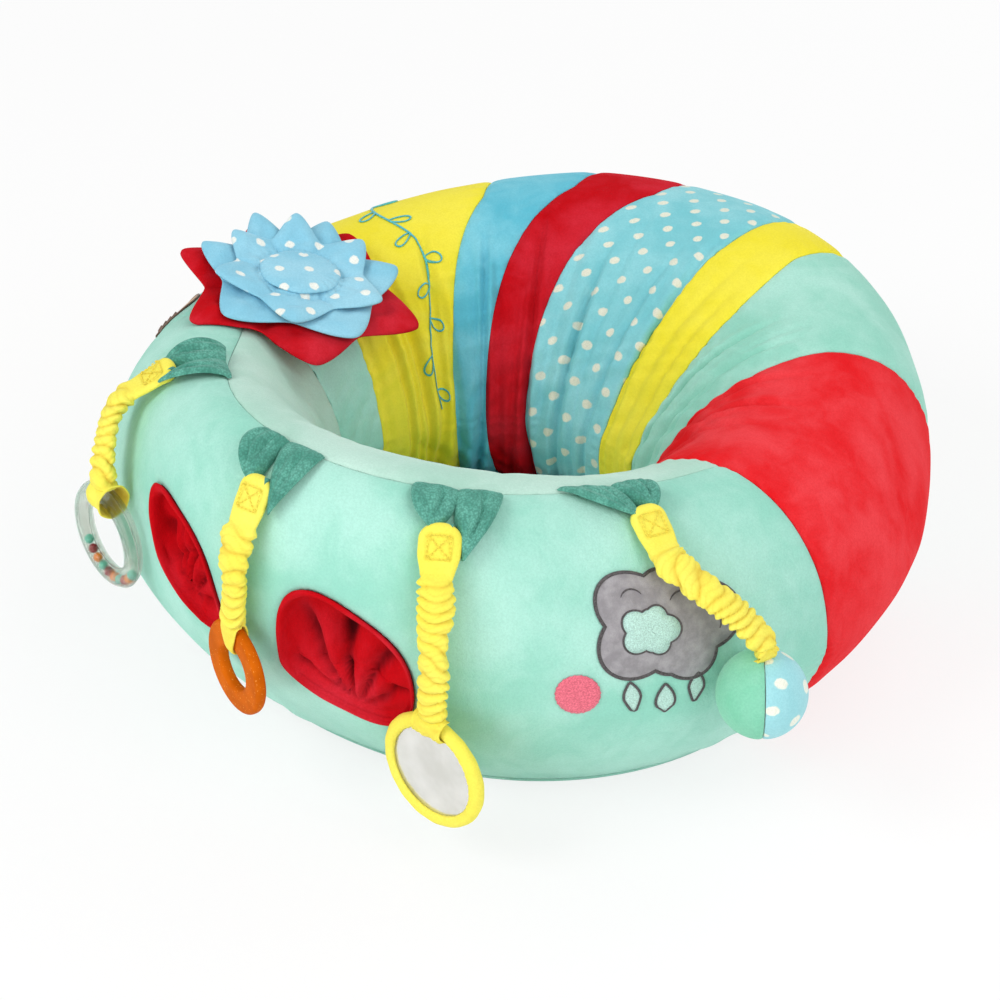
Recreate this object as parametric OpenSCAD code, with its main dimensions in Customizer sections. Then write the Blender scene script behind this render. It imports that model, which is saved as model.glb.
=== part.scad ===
// Baby floor seat: an inflated ring in a washable velour cover, with hanging toys.
// Millimetres. Z is up, the front of the seat faces -Y, and the origin is the middle of
// the flat underside. Round the ring, "a" is the angle from the front, growing towards +X.
// Round the ring's section, "psi" is 0 at the outer wall, 90 on top and 180 in the hollow.

/* [Ring] */
// Diameter of the seat at its widest
seat_d = 590; // [560:5:620]
// Diameter of the seat hollow where it is narrowest
hollow_d = 222; // [210:2:236]
// How far the hollow lies in front of the middle
hollow_shift = 31; // [24:1:38]
// Height of the ring at the front
front_h = 258; // [246:2:270]
// Height of the ring at its sides
side_h = 212; // [204:2:222]
// Height of the ring at the back
back_h = 226; // [216:2:238]
// Outward lean of the front, in millimetres per millimetre of height
front_lean = 0.18; // [0.12:0.01:0.22]
// Outward lean of the back
back_lean = 0.40; // [0.32:0.01:0.44]
// Depth of the flat padded floor in the hollow
floor_pad_h = 62; // [50:1:74]

/* [Cover] */
// Thickness of the padded velour panels
panel_t = 3; // [2.5:0.5:4]
// Thickness of the base panel
base_t = 2.5; // [2:0.5:4]
// Wall of the air bladder
bladder_wall = 0.5; // [0.4:0.1:1.5]
// Depth of the two toy pockets
pocket_depth = 24; // [18:1:28]
// Diameter of the embroidered spot
spot_d = 30; // [24:1:36]

/* [Straps] */
// Width of the gathered sleeves
sleeve_w = 20; // [18:1:22]
// Thickness of the gathered sleeves
sleeve_t = 13; // [12:1:15]
// Length of the stitched patch at the top of a strap
patch_len = 30; // [26:1:34]
// Width of the stitched patch
patch_w = 28; // [26:1:32]
// Width of a leaf tab where it is sewn in
leaf_w = 60; // [50:2:66]

/* [Toys] */
// Outer diameter of the clear rattle ring
rattle_d = 77; // [74:1:80]
// Diameter of the rattle ring's tube
rattle_tube_d = 13; // [12:1:15]
// Diameter of a rattle bead
bead_d = 7; // [5:0.5:8]
// Outer diameter of the teether
teether_d = 67; // [64:1:71]
// Diameter of the teether's finger hole
teether_hole_d = 32; // [29:1:35]
// Thickness of the teether
teether_t = 8; // [7:0.5:9]
// Outer diameter of the mirror's padded frame
mirror_d = 84; // [80:1:88]
// Diameter of the padding round the mirror
mirror_tube_d = 10; // [9:0.5:11]
// Diameter of the soft ball
ball_d = 60; // [56:1:62]

/* [Flower] */
// Diameter of the red petal layer, tip to tip
flower_d = 184; // [170:2:196]
// Number of petals in a layer
petals = 6; // [5:1:7]

/* [Zip] */
// Width of the zip tape
tape_w = 20; // [16:1:24]
// Half of the angle that the zip spans round the back
zip_half = 30; // [24:1:34]
// Length of the zip's pull
pull_len = 22; // [18:1:26]

/* [Hidden] */

seat_r = seat_d / 2;
hollow_r = hollow_d / 2;
side_lean = 0.02;        // the sides hardly lean
belly = 0.46;            // height of the widest point, as a share of the local height
top_round = 2.0;         // superellipse power of the upper half of the section
low_round = 1.5;         // the lower half is flatter towards the floor
settle = 0.08;           // how much of the lower half is pressed flat by the floor
gap = 0.3;               // clearance between separate pieces
sewn = 0.8;              // how far the parts of one sewn piece run into each other
section_step = 15;       // facets of the panels, in degrees round the section
round_step = 10;         // facets of the panels, in degrees round the ring
r2d = 180 / PI;

// Band seams: angle from the front, and how far the seam sweeps towards the hollow
SEAM_RED = [88, 4];
SEAM_MINT = [131, 3];
SEAM_YELLOW = [159, 8];
SEAM_DOTS = [170, -1];
SEAM_CRIMSON = [190.5, -15.5];
SEAM_BLUE = [204, -17];
SEAM_GOLD = [220, -12.5];
SEAM_LEFT = [259.5, -5.5];
SEAM_END = [290, 0];
SEAM_START = [-70, 0];

mint = [0.63, 0.87, 0.78];
pale_mint = [0.78, 0.91, 0.85];
red = [0.80, 0.05, 0.12];
yellow = [0.94, 0.90, 0.25];
blue = [0.45, 0.77, 0.88];
aqua = [0.52, 0.82, 0.84];
leaf_green = [0.33, 0.62, 0.55];

// ---------------------------------------------------------------- the ring's surface

// A value that is f at the front, s at both sides and b at the back
function wave(a, f, s, b) = let (m = (f + b) / 2)
    (m + s) / 2 + (f - b) / 2 * cos(a) + (m - s) / 2 * cos(2 * a);
function reach(a) = sqrt(pow(seat_r, 2) - pow(hollow_shift * sin(a), 2)) - hollow_shift * cos(a);
function signed_pow(x, p) = sign(x) * pow(abs(x), p);
function ring_h(a) = wave(a, front_h, side_h, back_h);

// Point of the ring's skin, "inset" millimetres inside it, never below "low"
function skin(a, psi, inset = 0, low = 0) = let (
    far = reach(a),
    h = ring_h(a),
    zc = belly * h,
    upper = sin(psi) > 0,
    p = 2 / (upper ? top_round : low_round),
    u = signed_pow(cos(psi), p) * ((far - hollow_r) / 2 - inset),
    v = signed_pow(sin(psi), p),
    z = upper ? zc + v * (h - zc - inset) : zc + v * (zc * (1 + settle) - inset),
    r = (far + hollow_r) / 2 + u + wave(a, front_lean, side_lean, back_lean) * (z - zc))
    [r * sin(a), -hollow_shift - r * cos(a), max(z, low)];

function unit(v) = v / norm(v);
function mix(p, q, t) = p + (q - p) * t;
function from_hollow(p) = norm([p[0], p[1] + hollow_shift]);
function normal_at(a, psi) = unit(cross(skin(a + 1, psi) - skin(a - 1, psi),
    skin(a, psi + 1) - skin(a, psi - 1)));
// Section angle that covers a length of "mm" along the skin
function psi_over(a, psi, mm) = 2 * mm / norm(skin(a, psi + 1) - skin(a, psi - 1));
function tangent(a) = [cos(a), sin(a), 0];
function outward(a) = [sin(a), -cos(a), 0];
// Place "off" millimetres in front of the outer wall, at height z
function before_wall(a, z, off) = let (
    h = ring_h(a),
    zc = belly * h,
    upper = z > zc,
    v = upper ? (z - zc) / (h - zc) : (zc - z) / (zc * (1 + settle)),
    psi = asin(pow(min(v, 1), (upper ? top_round : low_round) / 2)),
    p = skin(a, upper ? psi : -psi))
    [p[0], p[1], z] + outward(a) * off;

// Place children in a frame: x, y and z axes and an origin
module in_frame(x, y, z, o)
    multmatrix([[x[0], y[0], z[0], o[0]], [x[1], y[1], z[1], o[1]],
        [x[2], y[2], z[2], o[2]], [0, 0, 0, 1]]) children();

// ---------------------------------------------------------------- closed solids of a grid

// Faces of an n by m grid of points that starts at index k; "flip" turns it over
function grid_faces(n, m, k, flip) = [for (i = [0 : n - 2], j = [0 : m - 2])
    let (p = k + i * m + j, q = p + m)
    each flip ? [[p, q, p + 1], [p + 1, q, q + 1]] : [[p, p + 1, q], [p + 1, q + 1, q]]];
// Faces of the strip between two open edges, given as lists of indices
function strip(e, f) = [for (i = [0 : len(e) - 2])
    each [[e[i], e[i + 1], f[i]], [e[i + 1], f[i + 1], f[i]]]];

// Solid between an outer and an inner grid of points, both n by m
module slab(outer, inner) {
    n = len(outer);
    m = len(outer[0]);
    k = n * m;
    rows = [for (i = [0 : n - 1]) i * m];
    polyhedron(
        points = concat([for (row = outer) each row], [for (row = inner) each row]),
        faces = concat(grid_faces(n, m, 0, false), grid_faces(n, m, k, true),
            strip(rows, [for (i = rows) k + i]),
            strip([for (i = rows) k + i + m - 1], [for (i = rows) i + m - 1]),
            strip([for (j = [0 : m - 1]) k + j], [for (j = [0 : m - 1]) j]),
            strip([for (j = [0 : m - 1]) (n - 1) * m + j],
                [for (j = [0 : m - 1]) k + (n - 1) * m + j])));
}

// Closed tube or bag of rings of points, its two ends capped with fans
module rings_solid(rings) {
    n = len(rings);
    m = len(rings[0]);
    points = [for (r = rings) each r];
    first = [for (j = [0 : m - 1]) j];
    last = [for (j = [m - 1 : -1 : 0]) (n - 1) * m + j];
    sides = [for (i = [0 : n - 2], j = [0 : m - 1])
        let (p = i * m + j, q = i * m + (j + 1) % m)
        each [[p, p + m, q], [q, p + m, q + m]]];
    polyhedron(points, concat([for (j = [1 : m - 2]) [first[0], first[j], first[j + 1]]],
        [for (j = [1 : m - 2]) [last[0], last[j], last[j + 1]]], sides));
}

// ---------------------------------------------------------------- panels of the cover

function seam_a(seam, psi) = seam[0] + seam[1] * (min(cos(psi), 0) + 0.3 * max(cos(psi), 0));
// Half of the seam gap as an angle, at the radius of the point
function seam_trim(a, psi) = gap / 2 / from_hollow(skin(a, psi)) * r2d;
// Where the front panel meets the lip panel on top of the ring
function top_seam(a) = 65 + 5 * sin(a) + 43 * cos(a) - 13 * sin(2 * a) - 21 * cos(2 * a);
section_trim = gap / 2 / 110 * r2d;

// Points of a panel from seam s0 to seam s1, at an inset, between the section angles
// that the functions lo and hi give
function panel_points(s0, s1, lo, hi, rows, cols, inset) = [for (i = [0 : cols])
    let (t = i / cols, flat = mix(s0[0], s1[0], t))
    [for (j = [0 : rows])
        let (psi = mix(lo(flat), hi(flat), j / rows),
            a0 = seam_a(s0, psi), a1 = seam_a(s1, psi), trim = seam_trim(a0, psi),
            a = mix(a0 + trim, a1 - trim, t))
        skin(a, psi, inset)]];

module panel(s0, s1, lo, hi) {
    cols = max(1, round((s1[0] - s0[0]) / round_step));
    rows = max(2, round((hi(s0[0]) - lo(s0[0])) / section_step));
    slab(panel_points(s0, s1, lo, hi, rows, cols, 0),
        panel_points(s0, s1, lo, hi, rows, cols, panel_t));
}
// Section angle at which the panels meet the base panel
function edge_psi(a) = asin(pow((1 - (base_t + gap) / (belly * ring_h(a))) / (1 + settle),
    low_round / 2));
outer_edge = function (a) -edge_psi(a);
inner_edge = function (a) 180 + edge_psi(a);
below_seam = function (a) top_seam(a) - section_trim;
above_seam = function (a) top_seam(a) + section_trim;

module band(s0, s1) panel(s0, s1, outer_edge, inner_edge);

module base_panel()
    color(mint)
    linear_extrude(base_t)
    polygon([for (a = [0 : round_step / 2 : 359]) let (p = skin(a, outer_edge(a))) [p[0], p[1]]]);

// Crowned round cushion that fills the bottom of the hollow
pad_low_z = base_t + gap;
function wall_r(z) = min([for (psi = [180 : 2 : 240], a = [0, 90, 180])
    let (p = skin(a, psi)) if (p[2] < z + 12) from_hollow(p)]);
pad_r = wall_r(floor_pad_h * 0.75) - 1.5;
pad_side = floor_pad_h * 0.4;
pad_crown = floor_pad_h * 0.16;
module seat_floor_pad()
    color(mint)
    translate([0, -hollow_shift, pad_low_z])
    rotate_extrude($fn = 72)
    polygon(concat([[0, 0]],
        [for (t = [-90 : 15 : 90]) [pad_r - pad_side * 0.5 + pad_side * 0.5 * cos(t),
            pad_side + pad_side * sin(t)]],
        [for (t = [1 : 6]) let (x = 1 - t / 6) [(pad_r - pad_side * 0.5) * x,
            pad_side * 2 + pad_crown * (1 - x * x)]]));

// ---------------------------------------------------------------- toy pockets

// Centre (a, psi), half length, half width and tilt of each pocket's mouth
POCKET_LEFT = [-12.5, 18.5, 50, 28, -42];
POCKET_RIGHT = [17, 2, 58, 48, -30];
around_mm = (seat_r - hollow_shift) / r2d;   // millimetres per degree round the front wall
section_mm = front_h / 120;                  // and per degree round its section
lining_t = 2;

// Section coordinates of a pocket's point at "share" of its mouth, in direction t
function pocket_at(p, share, t) = let (
    x = p[3] * share * cos(t), y = p[2] * share * sin(t))
    [p[0] + (x * cos(p[4]) + y * sin(p[4])) / around_mm,
        p[1] + (-x * sin(p[4]) + y * cos(p[4])) / section_mm];
function pocket_ring(p, share, inset) = [for (t = [0 : 18 : 359])
    let (q = pocket_at(p, share, t)) skin(q[0], q[1], inset)];
// How far a place lies from the pocket's middle, 1 at its rim
function pocket_share(p, a, psi) = let (
    x = (a - p[0]) * around_mm, y = (psi - p[1]) * section_mm)
    norm([(x * cos(p[4]) - y * sin(p[4])) / p[3], (x * sin(p[4]) + y * cos(p[4])) / p[2]]);

module pocket_mouth(p)
    rings_solid([pocket_ring(p, 1, panel_t + 9), pocket_ring(p, 1, -9)]);

module pocket_lining(p) {
    rim = 1 - gap / p[3];
    wall = lining_t / p[3];
    color(red)
    rings_solid(concat(
        [pocket_ring(p, 0.12, pocket_depth + lining_t),
            pocket_ring(p, 0.62, pocket_depth * 0.93 + lining_t),
            pocket_ring(p, 0.88, pocket_depth * 0.72 + lining_t),
            pocket_ring(p, rim, pocket_depth * 0.30),
            pocket_ring(p, rim, 0)],
        [pocket_ring(p, rim - wall * 1.4, 0),
            pocket_ring(p, rim - wall * 1.4, pocket_depth * 0.28),
            pocket_ring(p, 0.80, pocket_depth * 0.70),
            pocket_ring(p, 0.56, pocket_depth * 0.93),
            pocket_ring(p, 0.12, pocket_depth)]));
}

module front_panel()
    color(mint)
    difference() {
        panel(SEAM_START, SEAM_RED, outer_edge, below_seam);
        pocket_mouth(POCKET_LEFT);
        pocket_mouth(POCKET_RIGHT);
    }
module seat_lip_panel() color(pale_mint) panel(SEAM_START, SEAM_RED, above_seam, inner_edge);
module red_side_band() color(red) band(SEAM_RED, SEAM_MINT);
module mint_back_band() color(mint) band(SEAM_MINT, SEAM_YELLOW);
module yellow_narrow_band() color(yellow) band(SEAM_YELLOW, SEAM_DOTS);
module dotted_back_band() color(aqua) band(SEAM_DOTS, SEAM_CRIMSON);
module red_narrow_band() color(red) band(SEAM_CRIMSON, SEAM_BLUE);
module blue_band() color(blue) band(SEAM_BLUE, SEAM_GOLD);
module yellow_wide_band() color(yellow) band(SEAM_GOLD, SEAM_LEFT);
module mint_left_band() color(mint) band(SEAM_LEFT, SEAM_END);
module pocket_lining_left() pocket_lining(POCKET_LEFT);
module pocket_lining_right() pocket_lining(POCKET_RIGHT);

// ---------------------------------------------------------------- air bladder and valve

bladder_inset = panel_t + 2.5;
valve_recess = 17;       // the bladder is dented here, so that the valve stays inside
BLADDER_A = concat([for (a = [-42 : 8 : 54]) a], [for (a = [66 : 12 : 162]) a],
    [171, 177, 183, 189], [for (a = [198 : 12 : 306]) a]);
BLADDER_PSI = [for (p = [-12 : 24 : 324]) p];
function ease(t) = t < 0 ? 0 : t > 1 ? 1 : t * t * (3 - 2 * t);
function dent(a, psi) = let (q = psi > 180 ? psi - 360 : psi)
    max([for (p = [POCKET_LEFT, POCKET_RIGHT])
            (pocket_depth + lining_t + 5) * ease((1.75 - pocket_share(p, a, q)) / 0.6)])
    + valve_recess * (abs(q) < 13 ? ease((12 - abs(a - 180)) / 7) : 0);
function bladder_point(a, psi, wall) =
    skin(a, psi, bladder_inset + dent(a, psi) + wall, base_t + gap + wall);

module bladder_body(wall) {
    n = len(BLADDER_A);
    m = len(BLADDER_PSI);
    points = [for (a = BLADDER_A, psi = BLADDER_PSI) bladder_point(a, psi, wall)];
    polyhedron(points, [for (i = [0 : n - 1], j = [0 : m - 1])
        let (p = i * m + j, q = i * m + (j + 1) % m,
            r = ((i + 1) % n) * m + j, s = ((i + 1) % n) * m + (j + 1) % m)
        each [[p, q, r], [q, s, r]]]);
}

// The valve's axes: outward through the back of the bladder
valve_foot = (bladder_point(177, -12, 0) + bladder_point(183, -12, 0)
    + bladder_point(177, 12, 0) + bladder_point(183, 12, 0)) / 4;
valve_z = unit(cross(bladder_point(183, -12, 0) - bladder_point(177, 12, 0),
    bladder_point(183, 12, 0) - bladder_point(177, -12, 0)));
valve_x = [1, 0, 0];
valve_y = unit(cross(valve_z, valve_x));
stem_r = 5;
stem_bore_r = 3.6;
stem_len = 7;
flange_r = 10;
flange_t = 1.5;
plug_play = 0.06;        // running clearance of the plug in the stem
plug_len = 5;            // how deep the plug reaches into the stem, and so its travel
plug_cap_r = 6.2;
plug_cap_t = 2;
module at_valve() in_frame(unit(cross(valve_y, valve_z)), valve_y, valve_z, valve_foot) children();

module air_bladder()
    color([0.85, 0.88, 0.9])
    difference() {
        bladder_body(0);
        bladder_body(bladder_wall);
        at_valve() cylinder(r = stem_r + 0.2, h = 20, center = true, $fn = 32);
    }
module valve_seat()
    color([0.9, 0.9, 0.9])
    at_valve()
    difference() {
        union() {
            translate([0, 0, gap]) cylinder(r = flange_r, h = flange_t, $fn = 48);
            translate([0, 0, -stem_len])
            cylinder(r = stem_r, h = stem_len + gap + flange_t, $fn = 48);
        }
        translate([0, 0, -stem_len - 1])
        cylinder(r = stem_bore_r, h = stem_len + flange_t + 4, $fn = 48);
    }
module valve_plug()
    color([0.95, 0.95, 0.95])
    at_valve()
    union() {
        translate([0, 0, -plug_len])
        cylinder(r = stem_bore_r - plug_play, h = plug_len + gap + flange_t + plug_cap_t / 2,
            $fn = 48);
        translate([0, 0, gap + flange_t + 0.05])
        cylinder(r = plug_cap_r, h = plug_cap_t, $fn = 48);
    }

// ---------------------------------------------------------------- sewn-on patches

patch_t = 0.9;
// Disc that lies on the skin at (a, psi); edge(t) is its radius in direction t
module skin_patch(a, psi, edge, steps) {
    step = 360 / steps;
    ring = function (share, lift) [for (t = [0 : step : 359.9]) let (r = edge(t) * share)
        skin(a + r * cos(t) / around_mm, psi + r * sin(t) / section_mm, -lift)];
    shares = [0.05, 0.4, 0.7, 1];
    rings_solid(concat([for (s = shares) ring(s, gap)],
        [for (i = [len(shares) - 1 : -1 : 0]) ring(shares[i], gap + patch_t)]));
}
module pink_spot()
    color([0.95, 0.40, 0.48])
    skin_patch(50, 7, function (t) spot_d / 2, 24);
// Rounded cloud with five lobes
cloud_r = 54;
module cloud_applique()
    color([0.58, 0.57, 0.60])
    skin_patch(63, 30, function (t) cloud_r * (0.78 + 0.22 * abs(cos(t * 2.5)))
        * (0.72 + 0.28 * abs(cos(t))), 40);
acorn_r = 26;
module acorn_applique()
    color([0.80, 0.68, 0.50])
    skin_patch(-78, 46, function (t) acorn_r * (0.84 + 0.16 * sin(t)), 24);

// ---------------------------------------------------------------- zip round the back

zip_psi = -35;
zip_end = skin(180 - zip_half, zip_psi);
zip_mid = skin(180, zip_psi);
zip_sag = zip_mid[1] - zip_end[1];
zip_r = (pow(zip_end[0], 2) + pow(zip_sag, 2)) / (2 * zip_sag);
zip_centre = [0, zip_mid[1] - zip_r, (zip_mid[2] + zip_end[2]) / 2];
zip_arc = 2 * asin(zip_end[0] / zip_r);
zip_n = normal_at(180, zip_psi);
zip_tilt = atan2(zip_n[2], zip_n[1]);
tape_t = 1;
tape_lift = 0.8;         // keeps the tape clear of the panels' facets
teeth_w = 4;
teeth_t = 1.8;
slider_len = 12;
slider_wall = 1.2;
slider_play = 0.4;
slider_angle = slider_len / zip_r * r2d;
pin_r = 1;
pin_lift = tape_lift + tape_t + teeth_t + slider_play + slider_wall + 2.6;

// Cross-section swept round the zip's arc, from angle a0 to a1 away from its right end;
// in the section, x points out of the wall and y up along it
module zip_sweep(a0, a1)
    translate(zip_centre)
    rotate([0, 0, 90 - zip_arc / 2 + a0])
    rotate_extrude(angle = a1 - a0, $fn = 180)
    translate([zip_r, 0])
    rotate(zip_tilt)
    children();

module zip_tape()
    color([0.90, 0.93, 0.90])
    zip_sweep(0, zip_arc) translate([tape_lift, -tape_w / 2]) square([tape_t, tape_w]);
module zip_teeth()
    color([0.75, 0.80, 0.80])
    zip_sweep(0, zip_arc) translate([tape_lift + tape_t, -teeth_w / 2]) square([teeth_t, teeth_w]);

// Place children at the slider's pin: x round the arc, z out of the wall at "tilt"
slider_a = slider_angle * 0.9;
slider_dir = 90 - zip_arc / 2 + slider_a;
slider_out = [cos(slider_dir), sin(slider_dir), 0];
slider_x = [-sin(slider_dir), cos(slider_dir), 0];
module at_slider_pin(tilt) {
    z = slider_out * cos(tilt) + [0, 0, sin(tilt)];
    in_frame(slider_x, cross(z, slider_x), z, zip_centre + slider_out * zip_r
        + pin_lift * (slider_out * cos(zip_tilt) + [0, 0, sin(zip_tilt)])) children();
}
lug_w = 2.8;
lug_t = 1.2;
module zip_slider() {
    channel = teeth_w + 2 * slider_play;
    low = tape_lift + gap + tape_t;
    high = tape_lift + tape_t + teeth_t + slider_play;
    color([0.85, 0.87, 0.87]) {
        zip_sweep(slider_a - slider_angle / 2, slider_a + slider_angle / 2)
        difference() {
            translate([low, -channel / 2 - slider_wall])
            square([high - low + slider_wall, channel + 2 * slider_wall]);
            translate([low - 1, -channel / 2]) square([high - low + 1, channel]);
        }
        at_slider_pin(zip_tilt)
        for (s = [-1, 1])
        translate([s * 3.9 - lug_t / 2, -lug_w / 2, high + slider_wall - 0.15 - pin_lift])
        cube([lug_t, lug_w, pin_lift - high - slider_wall + 0.15 + lug_w / 2]);
        at_slider_pin(zip_tilt)
        rotate([0, 90, 0]) cylinder(r = pin_r, h = 9, center = true, $fn = 32);
    }
}
module zip_pull()
    color([0.85, 0.87, 0.87])
    at_slider_pin(0)
    rotate([0, 90, 0])
    linear_extrude(5.6, center = true)
    difference() {
        union() {
            circle(r = pin_r + 1.2, $fn = 32);
            translate([-0.75, -pull_len]) square([1.5, pull_len]);
        }
        circle(r = pin_r + 0.08, $fn = 32);
    }

// ---------------------------------------------------------------- leaf tabs and straps

// Tab: place of its sewn edge (a), place of its tip (a, psi)
TAB_RATTLE = [-35.8, -36, 74];
TAB_TEETHER = [2.5, 2, 60];
TAB_MIRROR = [33, 31, 60];
TAB_BALL = [61, 64, 70];
tab_ring_r = 3;          // inside radius of the loop that the strap hangs in
tab_ring_t = 1.6;
tab_tip_w = 16;
hinge_lift = tab_ring_r + tab_ring_t + 1.2;
bar_w = 4;               // the strap's crossbar inside the tab's loop
bar_t = 3;

function hinge_at(tab) = skin(tab[1], tab[2], -hinge_lift);
function tab_x(tab) = tangent(tab[1]);
function tab_y(tab) = unit(cross(normal_at(tab[1], tab[2]), tangent(tab[1])));
function tab_z(tab) = unit(cross(tab_x(tab), tab_y(tab)));
module at_tab(tab) in_frame(tab_x(tab), tab_y(tab), tab_z(tab), hinge_at(tab)) children();

// Two rounded lobes with a crease between them, from the seam down to the loop
leaf_rows = 6;
leaf_cols = 8;
function leaf_half(s) = mix(leaf_w / 2, leaf_w * 0.34, s) * (1 - 0.45 * pow(s, 6));
function leaf_height(s, t) = mix(2.2, 5.4, s) + mix(2.4, 3.4, s) * abs(sin(180 * t))
    - 1.4 * abs(t);
function leaf_points(tab, over) = let (
    seam = top_seam(tab[0]) - 1.2,
    tip = tab[2] + psi_over(tab[1], tab[2], tab_ring_r + tab_ring_t - sewn))
    [for (i = [0 : leaf_rows]) let (s = i / leaf_rows)
        [for (j = [0 : leaf_cols])
            let (t = 2 * j / leaf_cols - 1, psi = mix(seam, tip, s) + 1.5 * s * abs(sin(180 * t)),
                a = mix(tab[0], tab[1], s), r = from_hollow(skin(a, psi)),
                lift = over ? leaf_height(s, t) + gap : mix(gap, 3.4, pow(s, 3)))
            skin(a + t * leaf_half(s) / r * r2d, psi, -lift)]];

module leaf_tab(tab)
    color(leaf_green) {
        slab(leaf_points(tab, true), leaf_points(tab, false));
        at_tab(tab)
        rotate([0, 90, 0])
        linear_extrude(tab_tip_w, center = true)
        difference() {
            circle(r = tab_ring_r + tab_ring_t, $fn = 40);
            circle(r = tab_ring_r, $fn = 40);
        }
    }

// Toys: place of the middle, as an angle round the ring, a height and the room between
// the toy and the wall, and the compass angle that its flat side faces
RATTLE_AT = before_wall(-29.5, 140, 8 + rattle_tube_d / 2);
RATTLE_TURN = -14;
TEETHER_AT = before_wall(1.4, 113, 12.6 + teether_t / 2);
TEETHER_TURN = -18;
MIRROR_AT = before_wall(30.7, 72, 27 + mirror_tube_d / 2);
MIRROR_TURN = -3;
BALL_AT = before_wall(72, 119, 2.2 + ball_d / 2);
BALL_TURN = 38;          // the seam between its halves
TAG_TURN = 72;           // the tag on top of the ball
loop_t = 2.2;
loop_w = 12;
loop_play = 0.9;         // a bent tube needs more room in its loop than a straight one
tag_r = 3;
rattle_mid = (rattle_d - rattle_tube_d) / 2;
teether_band = (teether_d - teether_hole_d) / 2;
mirror_mid = (mirror_d - mirror_tube_d) / 2;

// Where each strap ends: the middle of what its loop holds
RATTLE_HANG = RATTLE_AT + [0, 0, rattle_mid];
TEETHER_HANG = TEETHER_AT + [0, 0, (teether_d - teether_band) / 2];
MIRROR_HANG = MIRROR_AT + [0, 0, mirror_mid];
BALL_HANG = BALL_AT + [0, 0, ball_d / 2 + tag_r + gap];
rattle_grip = rattle_tube_d / 2 + loop_play;
teether_grip = teether_band / 2 + 1.5;   // the band curves away inside its loop
mirror_grip = mirror_tube_d / 2 + loop_play;
ball_grip = tag_r + gap;

// Frame of a toy: x along its flat side, y up, z out of it
module at_toy(place, turn) in_frame(tangent(turn), [0, 0, 1], outward(turn), place) children();

// A sleeve's middle line: from the patch, over the ring, then straight down to its loop
function sleeve_start(tab) = hinge_at(tab) + tab_y(tab) * -patch_len;
function bezier(p, t) = pow(1 - t, 3) * p[0] + 3 * pow(1 - t, 2) * t * p[1]
    + 3 * (1 - t) * t * t * p[2] + pow(t, 3) * p[3];
function sleeve_curve(tab, hang, grip, reach_in, reach_out) = let (
    p0 = sleeve_start(tab), p3 = hang + [0, 0, grip + loop_t - sewn])
    [p0, p0 - tab_y(tab) * reach_in, p3 + [0, 0, reach_out], p3];

// Oval rings along the curve; every other one is drawn in by the elastic
gather_pitch = 9;
function oval(c, t, half_w, half_t, side, sides) = let (
    d = unit(bezier(c, min(t + 0.01, 1)) - bezier(c, max(t - 0.01, 0))),
    n = unit(cross(d, side)), w = unit(cross(n, d)), o = bezier(c, t))
    [for (k = [0 : sides - 1]) let (q = 360 * (k + 0.5) / sides)
        o + w * half_w * cos(q) + n * half_t * sin(q)];
function curve_len(c) = let (n = 24)
    [for (i = 0, s = 0; i <= n; s = s + norm(bezier(c, i / n) - bezier(c, max(i - 1, 0) / n)),
        i = i + 1) if (i == n) s][0];
slot_w = 8;
slot_t = 3;
module sleeve(c, side) {
    count = 2 * round(curve_len(c) / gather_pitch);
    fullness = function (i) i % 2 == 0 ? 0.80 : 1;
    difference() {
        rings_solid([for (i = [0 : count])
            oval(c, i / count, sleeve_w / 2 * fullness(i), sleeve_t / 2 * fullness(i), side, 8)]);
        rings_solid([for (i = [-1 : 2 : count + 1]) let (t = min(max(i / count, 0), 1))
            [for (p = oval(c, t, slot_w / 2 * 1.4, slot_t / 2 * 1.4, side, 4))
                p + (i < 0 ? 1 : i > count ? -1 : 0) * (c[0] - c[1]) * 0.05]]);
    }
}
elastic_w = 6.4;
elastic_t = 1.6;
module elastic(c, side) {
    count = 2 * round(curve_len(c) / gather_pitch);
    color([0.95, 0.95, 0.92])
    rings_solid([for (i = [1 : 2 : count - 1])
        oval(c, i / count, elastic_w / 2 * 1.4, elastic_t / 2 * 1.4, side, 4)]);
}

// Flat patch that hangs by its crossbar in the tab's loop
module strap_patch(tab)
    at_tab(tab)
    linear_extrude(bar_t, center = true)
    difference() {
        translate([-patch_w / 2, -patch_len - sewn])
        square([patch_w, patch_len + sewn + bar_w / 2]);
        slot_top = -bar_w / 2;
        translate([-(tab_tip_w / 2 + 1), slot_top - (tab_ring_t + 2.4)])
        square([tab_tip_w + 2, tab_ring_t + 2.4]);
    }
// Round loop, or a cup where "open" is true, about the toy's side-to-side axis
module strap_loop(hang, turn, grip, open)
    at_toy(hang, turn)
    rotate([0, 90, 0])
    linear_extrude(loop_w, center = true)
    difference() {
        circle(r = grip + loop_t, $fn = 48);
        circle(r = grip, $fn = 48);
        if (open) translate([-2 * grip, -4 * grip]) square(4 * grip);
    }
// Flat loop round the teether's band
module teether_loop()
    at_toy(TEETHER_HANG, TEETHER_TURN)
    rotate([0, 90, 0])
    linear_extrude(loop_w, center = true)
    difference() {
        square([teether_t + 2 * (gap + loop_t), 2 * (teether_grip + loop_t)], center = true);
        square([teether_t + 2 * gap, 2 * teether_grip], center = true);
    }

CURVE_RATTLE = sleeve_curve(TAB_RATTLE, RATTLE_HANG, rattle_grip, 22, 22);
CURVE_TEETHER = sleeve_curve(TAB_TEETHER, TEETHER_HANG, teether_grip, 20, 26);
CURVE_MIRROR = sleeve_curve(TAB_MIRROR, MIRROR_HANG, mirror_grip, 26, 34);
CURVE_BALL = sleeve_curve(TAB_BALL, BALL_HANG, ball_grip, 20, 14);

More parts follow.
